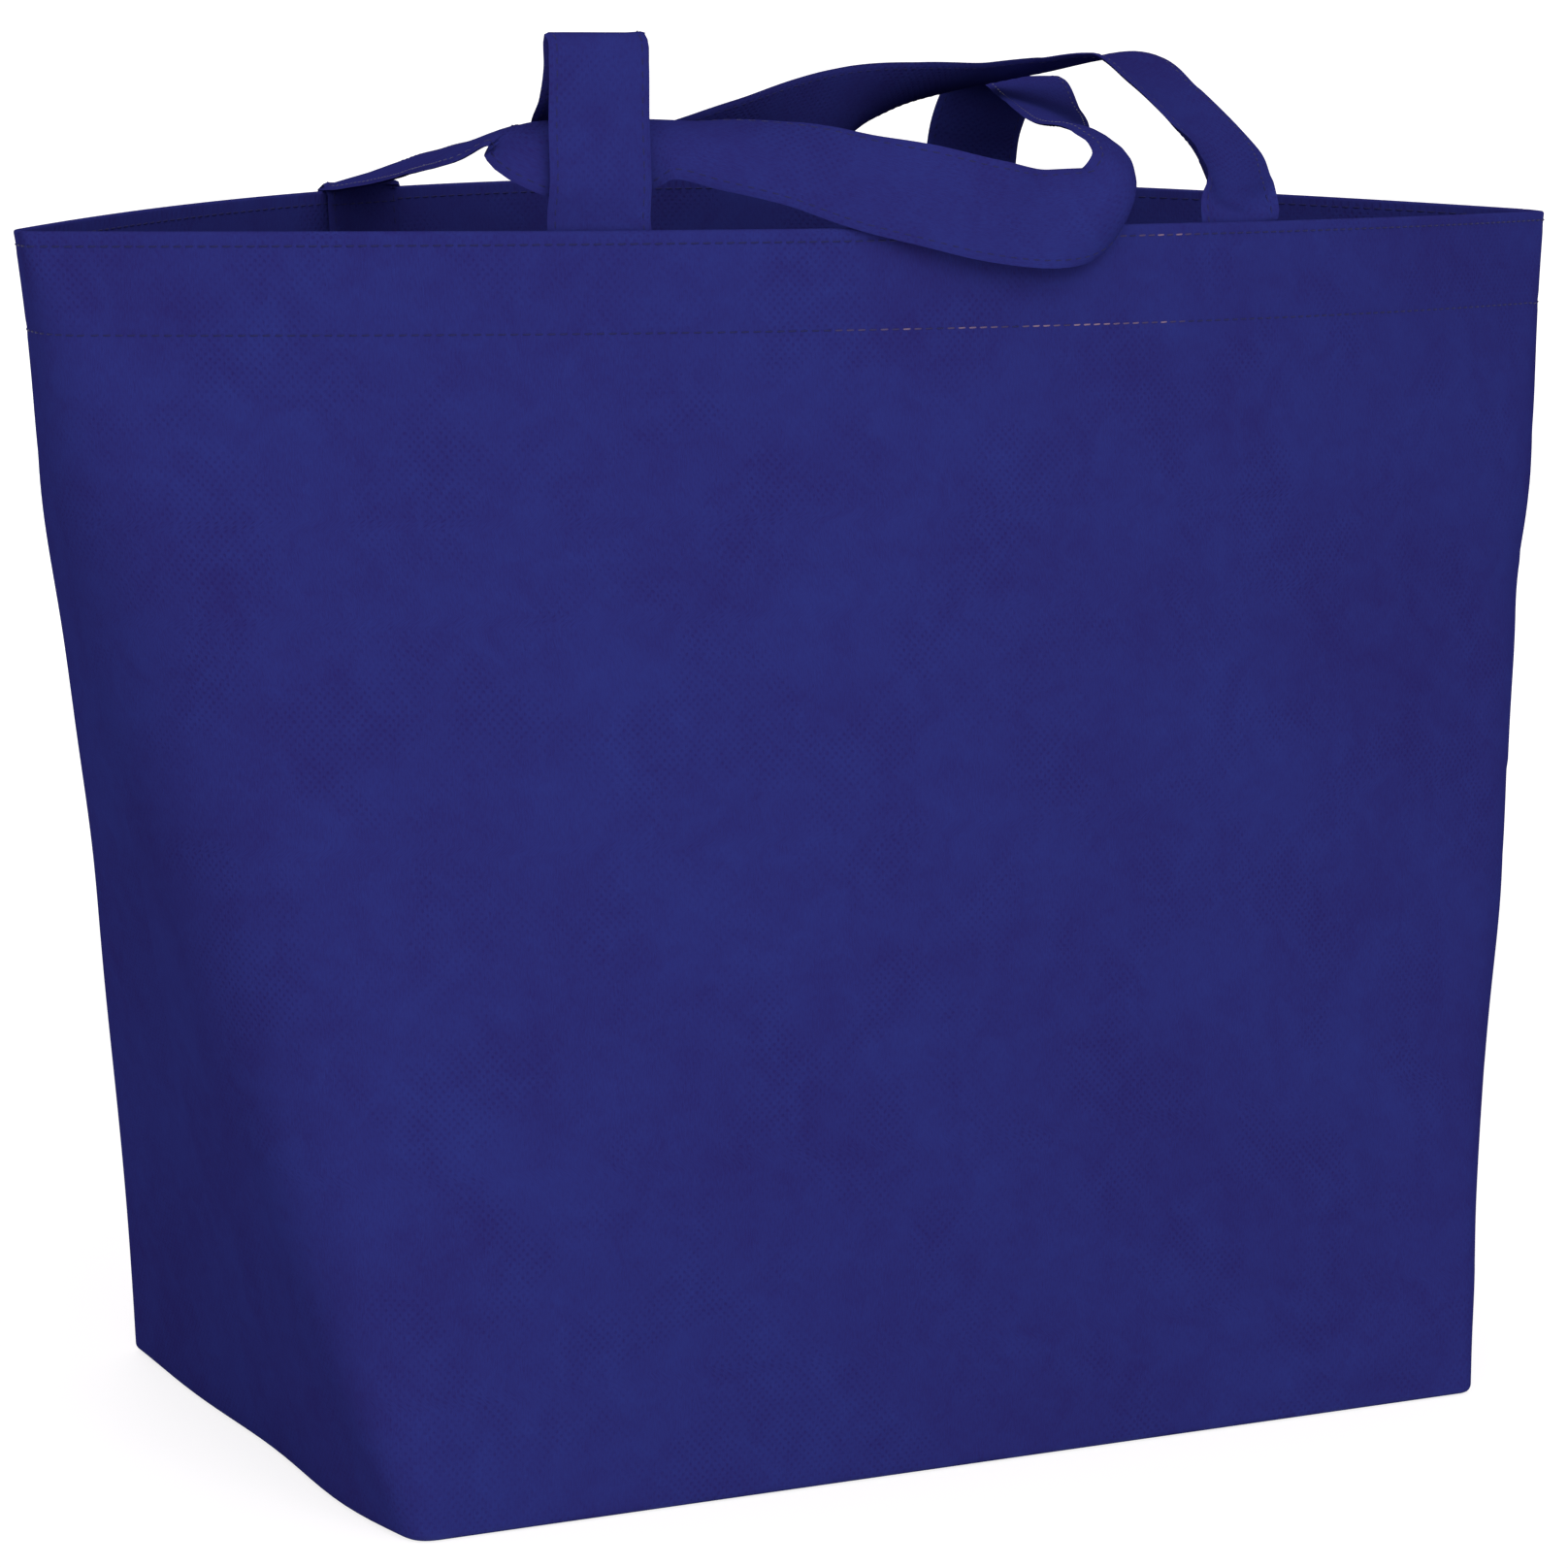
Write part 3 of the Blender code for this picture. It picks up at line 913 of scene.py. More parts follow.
@dataclass
class Thread:
    """A piece of sewing thread: many stitches, each a copy of one bent strand."""

    name: str
    finish: bpy.types.Material
    diameter: float = 0.00042
    share: float = 0.78
    pitch: float = 0.003
    rows: list[StitchRow] = field(default_factory=list)
    taper: float = 0.35
    flatness: float = 0.8
    rise: float = 0.32
    dip: float = 0.75
    slant: float = 0.12

    def strand(self) -> tuple[list[Vector], list[tuple[int, ...]]]:
        """One stitch, made from a cylinder that is bent down at its ends.

        Returns:
            Its points, along X and up along Z, and its faces.
        """
        length = self.pitch * self.share
        bpy.ops.object.select_all(action="DESELECT")
        bpy.ops.mesh.primitive_cylinder_add(vertices=6, radius=self.diameter / 2, depth=length,
                                            rotation=(0, pi / 2, 0))
        stitch = bpy.context.object
        bpy.ops.object.transform_apply(location=True, rotation=True, scale=True)
        mesh = stitch.data
        bpy.ops.object.mode_set(mode="EDIT")
        bpy.ops.mesh.select_mode(type="EDGE")
        bpy.ops.mesh.select_all(action="DESELECT")
        bpy.ops.object.mode_set(mode="OBJECT")
        for edge in mesh.edges:
            ends = [mesh.vertices[index].co for index in edge.vertices]
            edge.select = abs(ends[0].x - ends[1].x) > length / 2
        bpy.ops.object.mode_set(mode="EDIT")
        bpy.ops.mesh.subdivide(number_cuts=4)
        bpy.ops.object.mode_set(mode="OBJECT")
        for vertex in mesh.vertices:
            share = 2 * vertex.co.x / length
            narrow = 1 - self.taper * share ** 4
            vertex.co.y *= narrow
            vertex.co.z = (vertex.co.z * narrow * self.flatness
                           + self.diameter * (self.rise - self.dip * share ** 4))
            vertex.co.y += self.slant * self.diameter * share
        points = [vertex.co.copy() for vertex in mesh.vertices]
        faces = [tuple(face.vertices) for face in mesh.polygons]
        bpy.data.objects.remove(stitch)
        bpy.data.meshes.remove(mesh)
        return points, faces

    def build(self) -> bpy.types.Object:
        """Lay a copy of the strand at every stitch of every row.

        Returns:
            The piece, in its place.
        """
        points, faces = self.strand()
        sheet = MeshSheet()
        for row in self.rows:
            for middle, heading, face in row.spots():
                side = face.cross(heading).normalized()
                up = heading.cross(side).normalized()
                turned = Matrix((heading, side, up)).transposed()
                first = sheet.add_points([middle + turned @ point for point in points],
                                         row.pull(middle))
                for corners in faces:
                    sheet.add_face([first + index for index in corners],
                                   [(points[index].x, points[index].y) for index in corners])
        piece = sheet.build(self.name, self.finish, PAINTED_GLINT, 60)
        settle(piece)
        return piece


# Bag


@dataclass
class ToteBody:
    """The bag's body, one cloth that is boxed at the base and hemmed at the mouth."""

    form: ToteForm
    finish: EmbossedCloth = EmbossedCloth("bag_cloth_looks")
    outside_steps: int = 118
    inside_steps: int = 46
    seam_steps: int = 60
    fold_steps: int = 8
    hem_steps: int = 8
    base_edge_steps: int = 5
    base_shares: tuple[float, ...] = (0.93, 0.8, 0.62, 0.4, 0.18)
    seat_row_left: float = 0.0036
    seat_row_right: float = 0.0024
    hem_row: float = 0.0245
    hem_sink: float = 0.00016
    seat_sink: float = 0.00012
    sink_reach: float = 0.0014
    base_wear: float = 0.4
    fold_wear: float = 0.08
    half_girth: float = 0.503
    seam_pitch: float = 0.0028
    seam_row: float = 0.0050
    seam_start: float = 0.02
    seam_top_gap: float = 0.002
    # Painted glint on the front's hem rows: stretches along X for the lower and upper rows, and
    # the noise that breaks it into patches.
    painted_glint_low: tuple[float, float] = (-0.030, 0.074)
    painted_glint_high: tuple[float, float] = (0.050, 0.079)
    painted_glint_fade: float = 0.01
    painted_glint_level: float = 0.45
    painted_glint_swing: float = 1.2
    painted_glint_patches: tuple[float, float] = (310.0, 900.0)
    back_offset: float = 0.7

    def build(self, thread: bpy.types.Material) -> None:
        """Make the cloth and its threads.

        Args:
            thread: Material of the sewing thread.
        """
        sheet = self.cloth()
        body = sheet.build("tote_body", self.finish.build(), WEAR)
        settle(body, "bag_cloth", "bag_body")
        hem = Thread("hem_stitches", thread)
        for drop_left, drop_right, pale in (
                (self.seat_row_left, self.seat_row_right, self.painted_glint_high),
                (self.hem_row, self.hem_row, self.painted_glint_low)):
            for inset, outward in ((0.0, True), (2 * self.form.fold_radius, False)):
                hem.rows.append(self.hem_stitches(drop_left, drop_right, inset, outward, pale))
        stitches = hem.build()
        seams = Thread("side_seam_stitches", thread, pitch=self.seam_pitch)
        for side in Side:
            seams.rows.extend(self.seam_rows(side))
        joined = seams.build()

    def rings(self) -> list[Ring]:
        """Rings of the cloth from the base's outside, over the hem and back to the inside.

        Returns:
            The rings, in the order of the cloth.
        """
        form = self.form
        radius = form.fold_radius
        turns = [pi / 2 * step / self.base_edge_steps for step in range(self.base_edge_steps + 1)]
        levels = [form.base_round * (1 - cos(turn)) / form.height for turn in turns]
        insets = [form.base_round * (1 - sin(turn)) for turn in turns]
        low = form.base_round / form.height
        hem_end = form.level_below(form.hem_depth)
        fold_start = form.level_below(radius)
        seam_end = form.level_below(form.hem_depth + form.seam_fade)
        rings = []
        for level, inset in zip(levels, insets):
            rings.append(form.ring(level, inset))
            rings[-1].wear = self.base_wear * ease(1 - level * form.height / form.base_round)
        for step in range(1, self.outside_steps + 1):
            level = blend(low, fold_start, step / self.outside_steps)
            rings.append(form.ring(level, self.row_sink(level)))
        for step in range(1, self.fold_steps + 1):
            angle = pi * step / self.fold_steps
            rings.append(form.ring(form.level_below(radius * (1 - sin(angle))),
                                   radius * (1 - cos(angle))))
            rings[-1].along = form.height + radius * angle
            rings[-1].wear = self.fold_wear * sin(angle)
        hem_shares = [step / self.hem_steps for step in range(self.hem_steps + 1)]
        for share in hem_shares[1:]:
            rings.append(form.ring(blend(fold_start, hem_end, share), 2 * radius))
            rings[-1].along = 2 * form.height - rings[-1].along
        rings += [form.ring(blend(hem_end, fold_start, share), 2 * radius - form.cloth)
                  for share in hem_shares]
        rings.append(form.ring(form.level_below(radius - form.hem_air / 2), radius))
        rings += [form.ring(blend(fold_start, hem_end, share), form.cloth)
                  for share in hem_shares]
        rings += [form.ring(blend(seam_end, low, step / self.inside_steps), form.cloth,
                            form.seam_allowance) for step in range(self.inside_steps)]
        share = (form.base_round - form.cloth) / form.base_round
        rings += [form.ring(blend(low, level, share),
                            form.base_round - (form.base_round - inset) * share)
                  for level, inset in zip(reversed(levels), reversed(insets))]
        return rings

    def row_sink(self, level: float) -> float:
        """How far the stitch rows draw the outside of the hem in at a level.

        Args:
            level: Share of the bag's height.

        Returns:
            Distance inward, in metres.
        """
        drop = (1 - level) * self.form.height
        return sum(depth * hump(drop - row, self.sink_reach)
                   for row, depth in ((self.hem_row, self.hem_sink),
                                      (self.seat_row_left, self.seat_sink)))

    def cloth(self) -> MeshSheet:
        """Mesh of the whole cloth, closed at the base inside and outside.

        Returns:
            The mesh, with the flat place of every corner.
        """
        sheet = MeshSheet()
        rings = self.rings()
        firsts = [sheet.add_points(ring.points, ring.wear) for ring in rings]
        count = len(rings[0].points)
        for low, high, first, second in zip(rings, rings[1:], firsts, firsts[1:]):
            for index in range(count):
                after = (index + 1) % count
                left = self.flat_spot(low, index)
                right = self.flat_spot(low, after, index)
                above = self.flat_spot(high, after, index)
                beside = self.flat_spot(high, index)
                sheet.add_face((first + index, first + after, second + after, second + index),
                               (left, right, above, beside))
        self.close_base(sheet, rings[0], firsts[0], outward=True)
        self.close_base(sheet, rings[-1], firsts[-1], outward=False)
        return sheet

    def flat_spot(self, ring: Ring, index: int, like: int | None = None) -> tuple[float, float]:
        """Place of a ring's point on the flat cloth, measured on the panel of a neighbour.

        Args:
            ring: The ring.
            index: Number of the point.
            like: Number of the neighbour, or None for the point's own panel.

        Returns:
            Place across and along the cloth.
        """
        panel, cut, _ = ring.spots[index]
        if like is not None and ring.spots[like][0] is not panel:
            panel, before, _ = ring.spots[like]
            gap = (ring.points[index] - ring.points[like]).length
            cut = before - panel.value * gap
        return (cut + (self.back_offset if panel is Panel.BACK else 0.0), ring.along)

    def close_base(self, sheet: MeshSheet, ring: Ring, first: int, outward: bool) -> None:
        """Close a ring at the base with smaller rings and a middle point.

        Args:
            sheet: Mesh that takes the faces.
            ring: The ring.
            first: Index of its first point in the mesh.
            outward: Whether the faces look down, out of the bag.
        """
        count = len(ring.points)
        middle = sum(ring.points, Vector()) / count
        previous = first
        for share in self.base_shares:
            start = sheet.add_points([middle + (point - middle) * share for point in ring.points])
            for index in range(count):
                after = (index + 1) % count
                corners = (previous + index, start + index, start + after, previous + after)
                self.add_flat(sheet, corners, outward)
            previous = start
        centre = sheet.add_points([middle])
        for index in range(count):
            corners = (previous + index, centre, previous + (index + 1) % count)
            self.add_flat(sheet, corners, outward)

    @staticmethod
    def add_flat(sheet: MeshSheet, corners: tuple[int, ...], outward: bool) -> None:
        """Add a face of the base, which lies on the cloth as it lies in plan."""
        ordered = corners if outward else corners[::-1]
        sheet.add_face(ordered, [tuple(sheet.points[index][:2]) for index in ordered])

    def hem_stitches(self, drop_left: float, drop_right: float, inset: float, outward: bool,
                     pale: tuple[float, float]) -> StitchRow:
        """Row of stitches round the hem.

        Args:
            drop_left: How far below the mouth's edge it runs at the left.
            drop_right: How far below the mouth's edge it runs at the right.
            inset: How far its surface lies in from the outside.
            outward: Whether that surface faces outward.
            pale: Stretch of the front, along X, where a paler colour is painted as glint.

        Returns:
            The row, closed.
        """
        form = self.form
        levels = [form.level_below(drop) for drop in (drop_left, drop_right)]
        pair = [form.ring(level, inset + (self.row_sink(level) if outward else 0.0))
                for level in levels]
        line = []
        for one, other, (_, _, across) in zip(pair[0].points, pair[1].points, pair[0].spots):
            line.append(one.lerp(other, (across + 1) / 2))
        line.append(line[0])
        facing = []
        for here, there in zip(line, line[1:]):
            ahead = there - here
            out = Vector((ahead.y, -ahead.x, 0)).normalized()
            facing.append(out if outward else -out)

        def pull(place: Vector) -> float:
            """How much painted glint a stitch gets.

            Args:
                place: Place of a stitch.

            Returns:
                A share, which is above 0 only on the front.
            """
            if not outward or place.y > 0:
                return 0.0
            inside = (ease((place.x - pale[0]) / self.painted_glint_fade)
                      * ease((pale[1] - place.x) / self.painted_glint_fade))
            along, beside = self.painted_glint_patches
            wave = noise.noise(Vector((place.x * along, drop_left * beside, 0.3)))
            return clamp(inside * clamp(self.painted_glint_level + self.painted_glint_swing * wave))

        return StitchRow(line, facing, pull=pull)

    def seam_rows(self, side: Side) -> list[StitchRow]:
        """Rows of stitches on both faces of a side seam's allowance inside the bag.

        Args:
            side: Side that has the seam.

        Returns:
            A row for each face.
        """
        form = self.form
        rows = []
        top = form.level_below(form.hem_depth + form.seam_fade + self.seam_top_gap)
        for face in (-1, 1):
            beside = face * form.seam_flat * form.seam_half * form.cloth
            line = []
            for step in range(self.seam_steps + 1):
                level = blend(self.seam_start, top, step / self.seam_steps)
                inner = form.side_place(0.0, level, side).x - side.value * self.seam_row
                place = form.lean(Vector((inner, beside)), level)
                line.append(place.to_3d())
                line[-1].z = form.height_at(level, Panel.FRONT, side.value)
            rows.append(StitchRow(line, [Vector((0, face, 0))] * len(line),
                                  pitch=self.seam_pitch))
        return rows


# Straps


@dataclass(frozen=True)
class Station:
    """A station of a strap's route.

    Attributes:
        centre: Its middle.
        way: Direction across the strap.
        cup: How deeply the strap is cupped, as a share of half its width.
    """

    centre: Vector
    way: Vector
    cup: float

    def numbers(self) -> list[float]:
        """Its values in a row."""
        return [*self.centre, *self.way, self.cup]


RouteRow = tuple[float, float, float, tuple[float, float, float], float]

FRONT_ROUTE: tuple[RouteRow, ...] = (
    (-0.985, -0.87, 0.014, (1.0, -0.2, 0.0), 0.0),
    (-0.985, -0.86, 0.0305, (1.0, -0.15, 0.0), 0.0),
    (-0.982, -0.853, 0.0448, (1.0, -0.12, -0.02), 0.0),
    (-0.98, -0.84, 0.0494, (1.0, -0.12, -0.03), 0.0),
    (-0.98, -0.81, 0.0510, (1.0, -0.12, -0.03), 0.0),
    (-0.975, -0.788, 0.0492, (1.0, -0.12, -0.03), 0.0),
    (-0.965, -0.76, 0.0450, (1.0, -0.13, -0.01), 0.0),
    (-0.94, -0.64, 0.0367, (1.0, -0.05, 0.02), 0.0),
    (-0.90, -0.44, 0.0290, (1.0, -0.05, 0.04), 0.0),
    (-0.83, -0.26, 0.0215, (0.9, -0.3, 0.3), 0.0),
    (-0.66, -0.14, 0.0190, (0.4, -0.7, 0.5), 0.1),
    (-0.36, -0.08, 0.0222, (-0.1, -0.68, 0.68), 0.1),
    (0.06, 0.09, 0.027, (-0.3, -0.5, 0.8), 0.0),
    (0.33, 0.19, 0.0310, (-0.1, -0.8, 0.55), 0.1),
    (0.60, 0.27, 0.0335, (0.1, -0.9, 0.35), 0.1),
    (0.86, 0.28, 0.0365, (-0.35, -0.9, 0.2), 0.1),
    (1.02, 0.13, 0.0399, (-0.8, -0.6, 0.0), 0.1),
    (1.03, -0.15, 0.0325, (-0.9, -0.42, 0.0), 0.15),
    (1.062, -0.42, 0.0222, (-0.90, -0.40, -0.02), 0.1),
    (1.015, -0.68, 0.0122, (-0.86, -0.50, -0.12), 0.5),
    (0.988, -0.80, 0.0058, (-0.93, -0.34, -0.1), 0.5),
)
BACK_ROUTE: tuple[RouteRow, ...] = (
    (-1.055, 0.845, 0.0058, (0.94, 0.34, 0.04), 0.0),
    (-1.055, 0.83, 0.0078, (0.94, 0.34, 0.10), 0.0),
    (-1.053, 0.795, 0.0088, (0.94, 0.3, 0.20), 0.0),
    (-1.05, 0.73, 0.0098, (0.94, 0.2, 0.27), 0.0),
    (-1.05, 0.46, 0.0138, (0.94, 0.06, 0.35), 0.0),
    (-1.12, 0.05, 0.019, (0.93, -0.03, 0.36), 0.0),
    (-1.18, -0.26, 0.0222, (0.93, 0.0, 0.36), 0.1),
    (-1.20, -0.50, 0.0245, (0.93, 0.05, 0.36), 0.1),
    (-1.13, -0.64, 0.0272, (0.94, 0.05, 0.22), 0.2),
    (-1.12, -0.73, 0.0252, (0.84, 0.1, 0.53), 0.3),
    (-1.06, -0.78, 0.0236, (0.70, 0.0, 0.70), 0.3),
    (-0.95, -0.79, 0.0228, (0.56, 0.1, 0.8), 0.3),
    (-0.77, -0.75, 0.0252, (0.5, 0.75, 0.55), 0.5),
    (-0.58, -0.81, 0.0229, (0.45, 0.55, 0.65), 0.4),
    (-0.41, -0.91, 0.0196, (0.3, 0.5, 0.8), 0.2),
    (-0.24, -1.03, 0.0145, (0.28, 0.3, 0.9), 0.1),
    (-0.10, -1.10, 0.0113, (0.25, 0.16, 0.95), 0.0),
    (0.09, -1.15, 0.0071, (0.18, 0.15, 0.97), 0.0),
    (0.29, -1.14, 0.0050, (0.1, 0.3, 0.93), 0.15),
    (0.452, -1.13, 0.0082, (-0.3, -0.04, 0.93), 0.6),
    (0.502, -1.085, 0.0122, (-0.42, -0.2, 0.8), 0.58),
    (0.532, -1.00, 0.0160, (-0.52, -0.25, 0.7), 0.58),
    (0.556, -0.85, 0.0192, (-0.68, -0.2, 0.66), 0.5),
    (0.645, -0.40, 0.0218, (-0.88, 0.1, 0.42), 0.25),
    (0.765, 0.06, 0.0245, (-0.93, -0.05, 0.33), 0.1),
    (0.90, 0.35, 0.0268, (-0.97, -0.05, 0.15), 0.0),
    (0.955, 0.57, 0.0322, (-0.95, 0.3, 0.0), 0.0),
    (0.955, 0.70, 0.0285, (-0.9, 0.42, 0.0), 0.0),
    (0.95, 0.78, 0.0185, (-0.9, 0.42, 0.0), 0.0),
)


@dataclass
class StrapHandle:
    """A strap handle, folded from cloth and sewn along both edges and to the hem's inside."""

    form: ToteForm
    name: str
    node: str
    slot: str
    panel: Panel
    route: tuple[RouteRow, ...]
    finish: EmbossedCloth
    width: float = 0.0254
    thickness: float = 0.0012
    spacing: float = 0.181
    drift: float = 0.0085
    seat_clearance: float = 0.0006
    stitch_inset: float = 0.0019
    step: float = 0.0016
    half_points: int = 13
    edge_steps: int = 400
    edge_pitch: float = 0.0031
    groove: float = 0.00017
    groove_reach: float = 0.0007
    end_calm: float = 0.04
    end_gap: float = 0.002
    way_out: float = 0.001
    crowding: float = 0.6
    crumple: float = 0.00022
    crumple_size: float = 0.016
    crumple_gap: float = 0.3
    high_row: float = 0.0036
    low_row: float = 0.0045
    row_margin: float = 0.0006

    def build(self, thread: bpy.types.Material) -> None:
        """Make the strap and its threads.

        Args:
            thread: Material of the sewing thread.
        """
        path = self.path()
        sheet, length = self.cloth(path)
        strap = sheet.build(self.name, self.finish.build(), WEAR, 50)
        settle(strap, self.slot, self.node)
        edges = Thread(self.name + "_stitches", thread, diameter=0.00036, pitch=self.edge_pitch)
        edges.rows = [self.edge_row(path, place, face) for place in (-1.0, 1.0)
                      for face in (-1, 1)]
        edges.rows.extend(self.seat_rows())
        stitches = edges.build()

    def across_at(self, side: Side) -> float:
        """Place across the mouth's edge of one end of the strap.

        Args:
            side: Side of the end.

        Returns:
            Place from -1 at the left to 1 at the right.
        """
        drifted = self.panel is Panel.BACK and side is Side.LEFT
        reach = self.spacing / 2 + (self.drift if drifted else 0.0)
        length = 0.0
        before = self.form.panel_place(0.0, 1.0, self.panel)
        for step in range(1, self.edge_steps + 1):
            place = self.form.panel_place(step / self.edge_steps, 1.0, self.panel)
            length += (place - before).length
            before = place
            if length >= reach:
                return side.value * step / self.edge_steps
        return side.value

    def seat(self, side: Side, drop: float) -> Station:
        """Station on the hem's inside, this far below the mouth's edge.

        Args:
            side: Side of the end.
            drop: How far below the mouth's edge it lies.

        Returns:
            The station.
        """
        form = self.form
        across = self.across_at(side)
        level = form.level_below(drop)
        reach = 0.02
        place = form.panel_place(across, level, self.panel)
        tangent = (form.panel_place(across + reach, level, self.panel)
                   - form.panel_place(across - reach, level, self.panel)).normalized()
        inward = Vector((-tangent.y, tangent.x)) * -self.panel.value
        hollow = form.bow(self.panel) * (self.width / 2 / form.half_size(level)[0]) ** 2
        stand_off = 2 * form.fold_radius + self.seat_clearance + hollow + self.thickness / 2
        centre = form.lean(place + inward * stand_off, level)
        turned = (form.lean(place + inward * stand_off + tangent, level) - centre) * -side.value
        return Station(Vector((centre.x, centre.y, form.height_at(level, self.panel, across))),
                       Vector((turned.x, turned.y, 0.0)), 0.0)

    def route_station(self, row: RouteRow) -> Station:
        """Station in space, from its shares of the mouth's size.

        Args:
            row: Its row in the route.

        Returns:
            The station.
        """
        across, depth, above, way, cup = row
        bow = self.form.bow(Panel.FRONT if depth < 0 else Panel.BACK)
        place = self.form.lean(Vector((across * self.spacing / 2, depth * bow)), 1.0)
        return Station(Vector((place.x, place.y, self.form.height + above)), Vector(way), cup)

    def path(self) -> list[Station]:
        """Stations a small step apart on a smooth curve through the route's stations.

        Returns:
            The stations, from the left end to the right one.
        """
        drops = (self.form.hem_depth - self.end_gap, self.form.hem_depth / 2, self.end_gap,
                 -self.way_out)
        stations = [self.seat(Side.LEFT, drop) for drop in drops]
        stations += [self.route_station(row) for row in self.route]
        stations += [self.seat(Side.RIGHT, drop) for drop in reversed(drops)]
        rows = [station.numbers() for station in stations]
        path = []
        for index in range(len(rows) - 1):
            length = self.gap(rows, index, index + 1)
            leaving = self.slope(rows, index)
            arriving = self.slope(rows, index + 1)
            steps = max(2, round(length / self.step))
            for step in range(steps):
                share = step / steps
                toward = ease(share)
                out = length * share * (1 - share) ** 2
                back = -length * share * share * (1 - share)
                path.append([blend(a, b, toward) + out * c + back * d for a, b, c, d
                             in zip(rows[index], rows[index + 1], leaving, arriving)])
        path.append(rows[-1])
        return [Station(Vector(row[:3]), Vector(row[3:6]), row[6]) for row in path]

    @staticmethod
    def gap(rows: list[list[float]], one: int, other: int) -> float:
        """Distance between two stations."""
        return (Vector(rows[one][:3]) - Vector(rows[other][:3])).length

    def slope(self, rows: list[list[float]], index: int) -> list[float]:
        """Rate at which a station's numbers change along the strap.

        Args:
            rows: Numbers of all stations.
            index: Which station.

        Returns:
            Change of each number per metre.
        """
        slopes = []
        lengths = []
        for other in (index - 1, index + 1):
            if 0 <= other < len(rows):
                length = self.gap(rows, index, other)
                sign = 1 if other > index else -1
                slopes.append([sign * (b - a) / length for a, b in zip(rows[index], rows[other])])
                lengths.append(length)
        if len(slopes) == 1:
            return slopes[0]
        share = lengths[0] / (lengths[0] + lengths[1])
        return [blend(a, b, share) for a, b in zip(*slopes)]

    def section(self, path: list[Station], index: int) -> "Section":
        """Frame of the strap's cross-section at a step of the path.

        Args:
            path: Steps of the path.
            index: Which step.

        Returns:
            The cross-section.
        """
        station = path[index]
        before = path[max(index - 1, 0)].centre
        after = path[min(index + 1, len(path) - 1)].centre
        heading = (after - before).normalized()
        across = (station.way - heading * station.way.dot(heading)).normalized()
        normal = heading.cross(across)
        return Section(station.centre, across, normal,
                       self.width / 2 * (1 - station.cup * station.cup / 2),
                       self.width / 2 * station.cup)

    def half_thickness(self, place: float) -> float:
        """Half the strap's thickness, which the stitches draw in and the folds round off.

        Args:
            place: Place across the strap, from -1 to 1.

        Returns:
            The distance in metres.
        """
        half = self.width / 2
        inward = half * (1 - abs(place))
        full = self.thickness / 2
        rounded = full * sqrt(1 - (1 - clamp(inward / full)) ** 2)
        groove = self.groove * hump(inward - self.stitch_inset, self.groove_reach)
        return max(0.0, rounded - groove)

    def ripple(self, along: float, place: float, index: int, count: int) -> float:
        """Slight unevenness of the strap, which is held flat at its ends.

        Args:
            along: Distance from the strap's start.
            place: Place across it, from -1 to 1.
            index: Which step of the path.
            count: Number of its steps.

        Returns:
            Distance toward the upper face.
        """
        share = index / (count - 1)
        fade = ease(share / self.end_calm) * ease((1 - share) / self.end_calm)
        spot = Vector((along, place * self.width / 2, self.panel.value * self.crumple_gap))
        return self.crumple * fade * noise.noise(spot / self.crumple_size)

    def sections(self, path: list[Station]) -> Iterable[tuple[int, "Section", float]]:
        """Number, cross-section and place along the strap of each step of the path.

        Args:
            path: Steps of the path.

        Returns:
            The three values of each step, in order.
        """
        along = 0.0
        for index in range(len(path)):
            if index:
                along += (path[index].centre - path[index - 1].centre).length
            yield index, self.section(path, index), along

    def cloth(self, path: list[Station]) -> tuple[MeshSheet, float]:
        """Mesh of the strap, closed all round, and its length.

        Args:
            path: Steps of the path.

        Returns:
            The mesh and the length in metres.
        """
        sheet = MeshSheet()
        half = self.width / 2
        even = [2 * step / (self.half_points - 1) - 1 for step in range(self.half_points)]
        places = [blend(place, sin(pi / 2 * place), self.crowding) for place in even]
        rings = []
        flats = []
        for index, section, along in self.sections(path):
            lift = [self.ripple(along, place, index, len(path)) for place in places]
            under = [section.at(place, -self.half_thickness(place) + rise)
                     for place, rise in zip(places, lift)]
            over = [section.at(place, self.half_thickness(place) + rise)
                    for place, rise in zip(places[1:-1], lift[1:-1])]
            rings.append(sheet.add_points(under + over[::-1]))
            flats.append([(place * half, along) for place in places]
                         + [(2 * half - place * half, along) for place in places[-2:0:-1]])
        count = 2 * self.half_points - 2
        for low, high, flat, next_flat in zip(rings, rings[1:], flats, flats[1:]):
            for index in range(count):
                after = (index + 1) % count
                spots = [flat[index], flat[after], next_flat[after], next_flat[index]]
                if after == 0:
                    spots[1] = (3 * half, flat[0][1])
                    spots[2] = (3 * half, next_flat[0][1])
                sheet.add_face((low + index, low + after, high + after, high + index), spots)
        for first, flat, way in ((rings[0], flats[0], -1), (rings[-1], flats[-1], 1)):
            self.close_end(sheet, first, flat, way)
        return sheet, along

    def close_end(self, sheet: MeshSheet, first: int, flat: list[tuple[float, float]],
                  way: int) -> None:
        """Close the strap's cut end with a strip of faces between its two faces.

        Args:
            sheet: Mesh that takes the faces.
            first: Index of the end ring's first point.
            flat: Places of the ring's points on the cloth.
            way: 1 for the end of the path and -1 for its start.
        """
        last = self.half_points - 1
        count = 2 * last
        for index in range(last):
            ring = [index, index + 1, (count - index - 1) % count, (count - index) % count]
            ring = [number for spot, number in enumerate(ring) if number not in ring[:spot]]
            ordered = ring if way > 0 else ring[::-1]
            sheet.add_face([first + number for number in ordered],
                           [flat[number] for number in ordered])

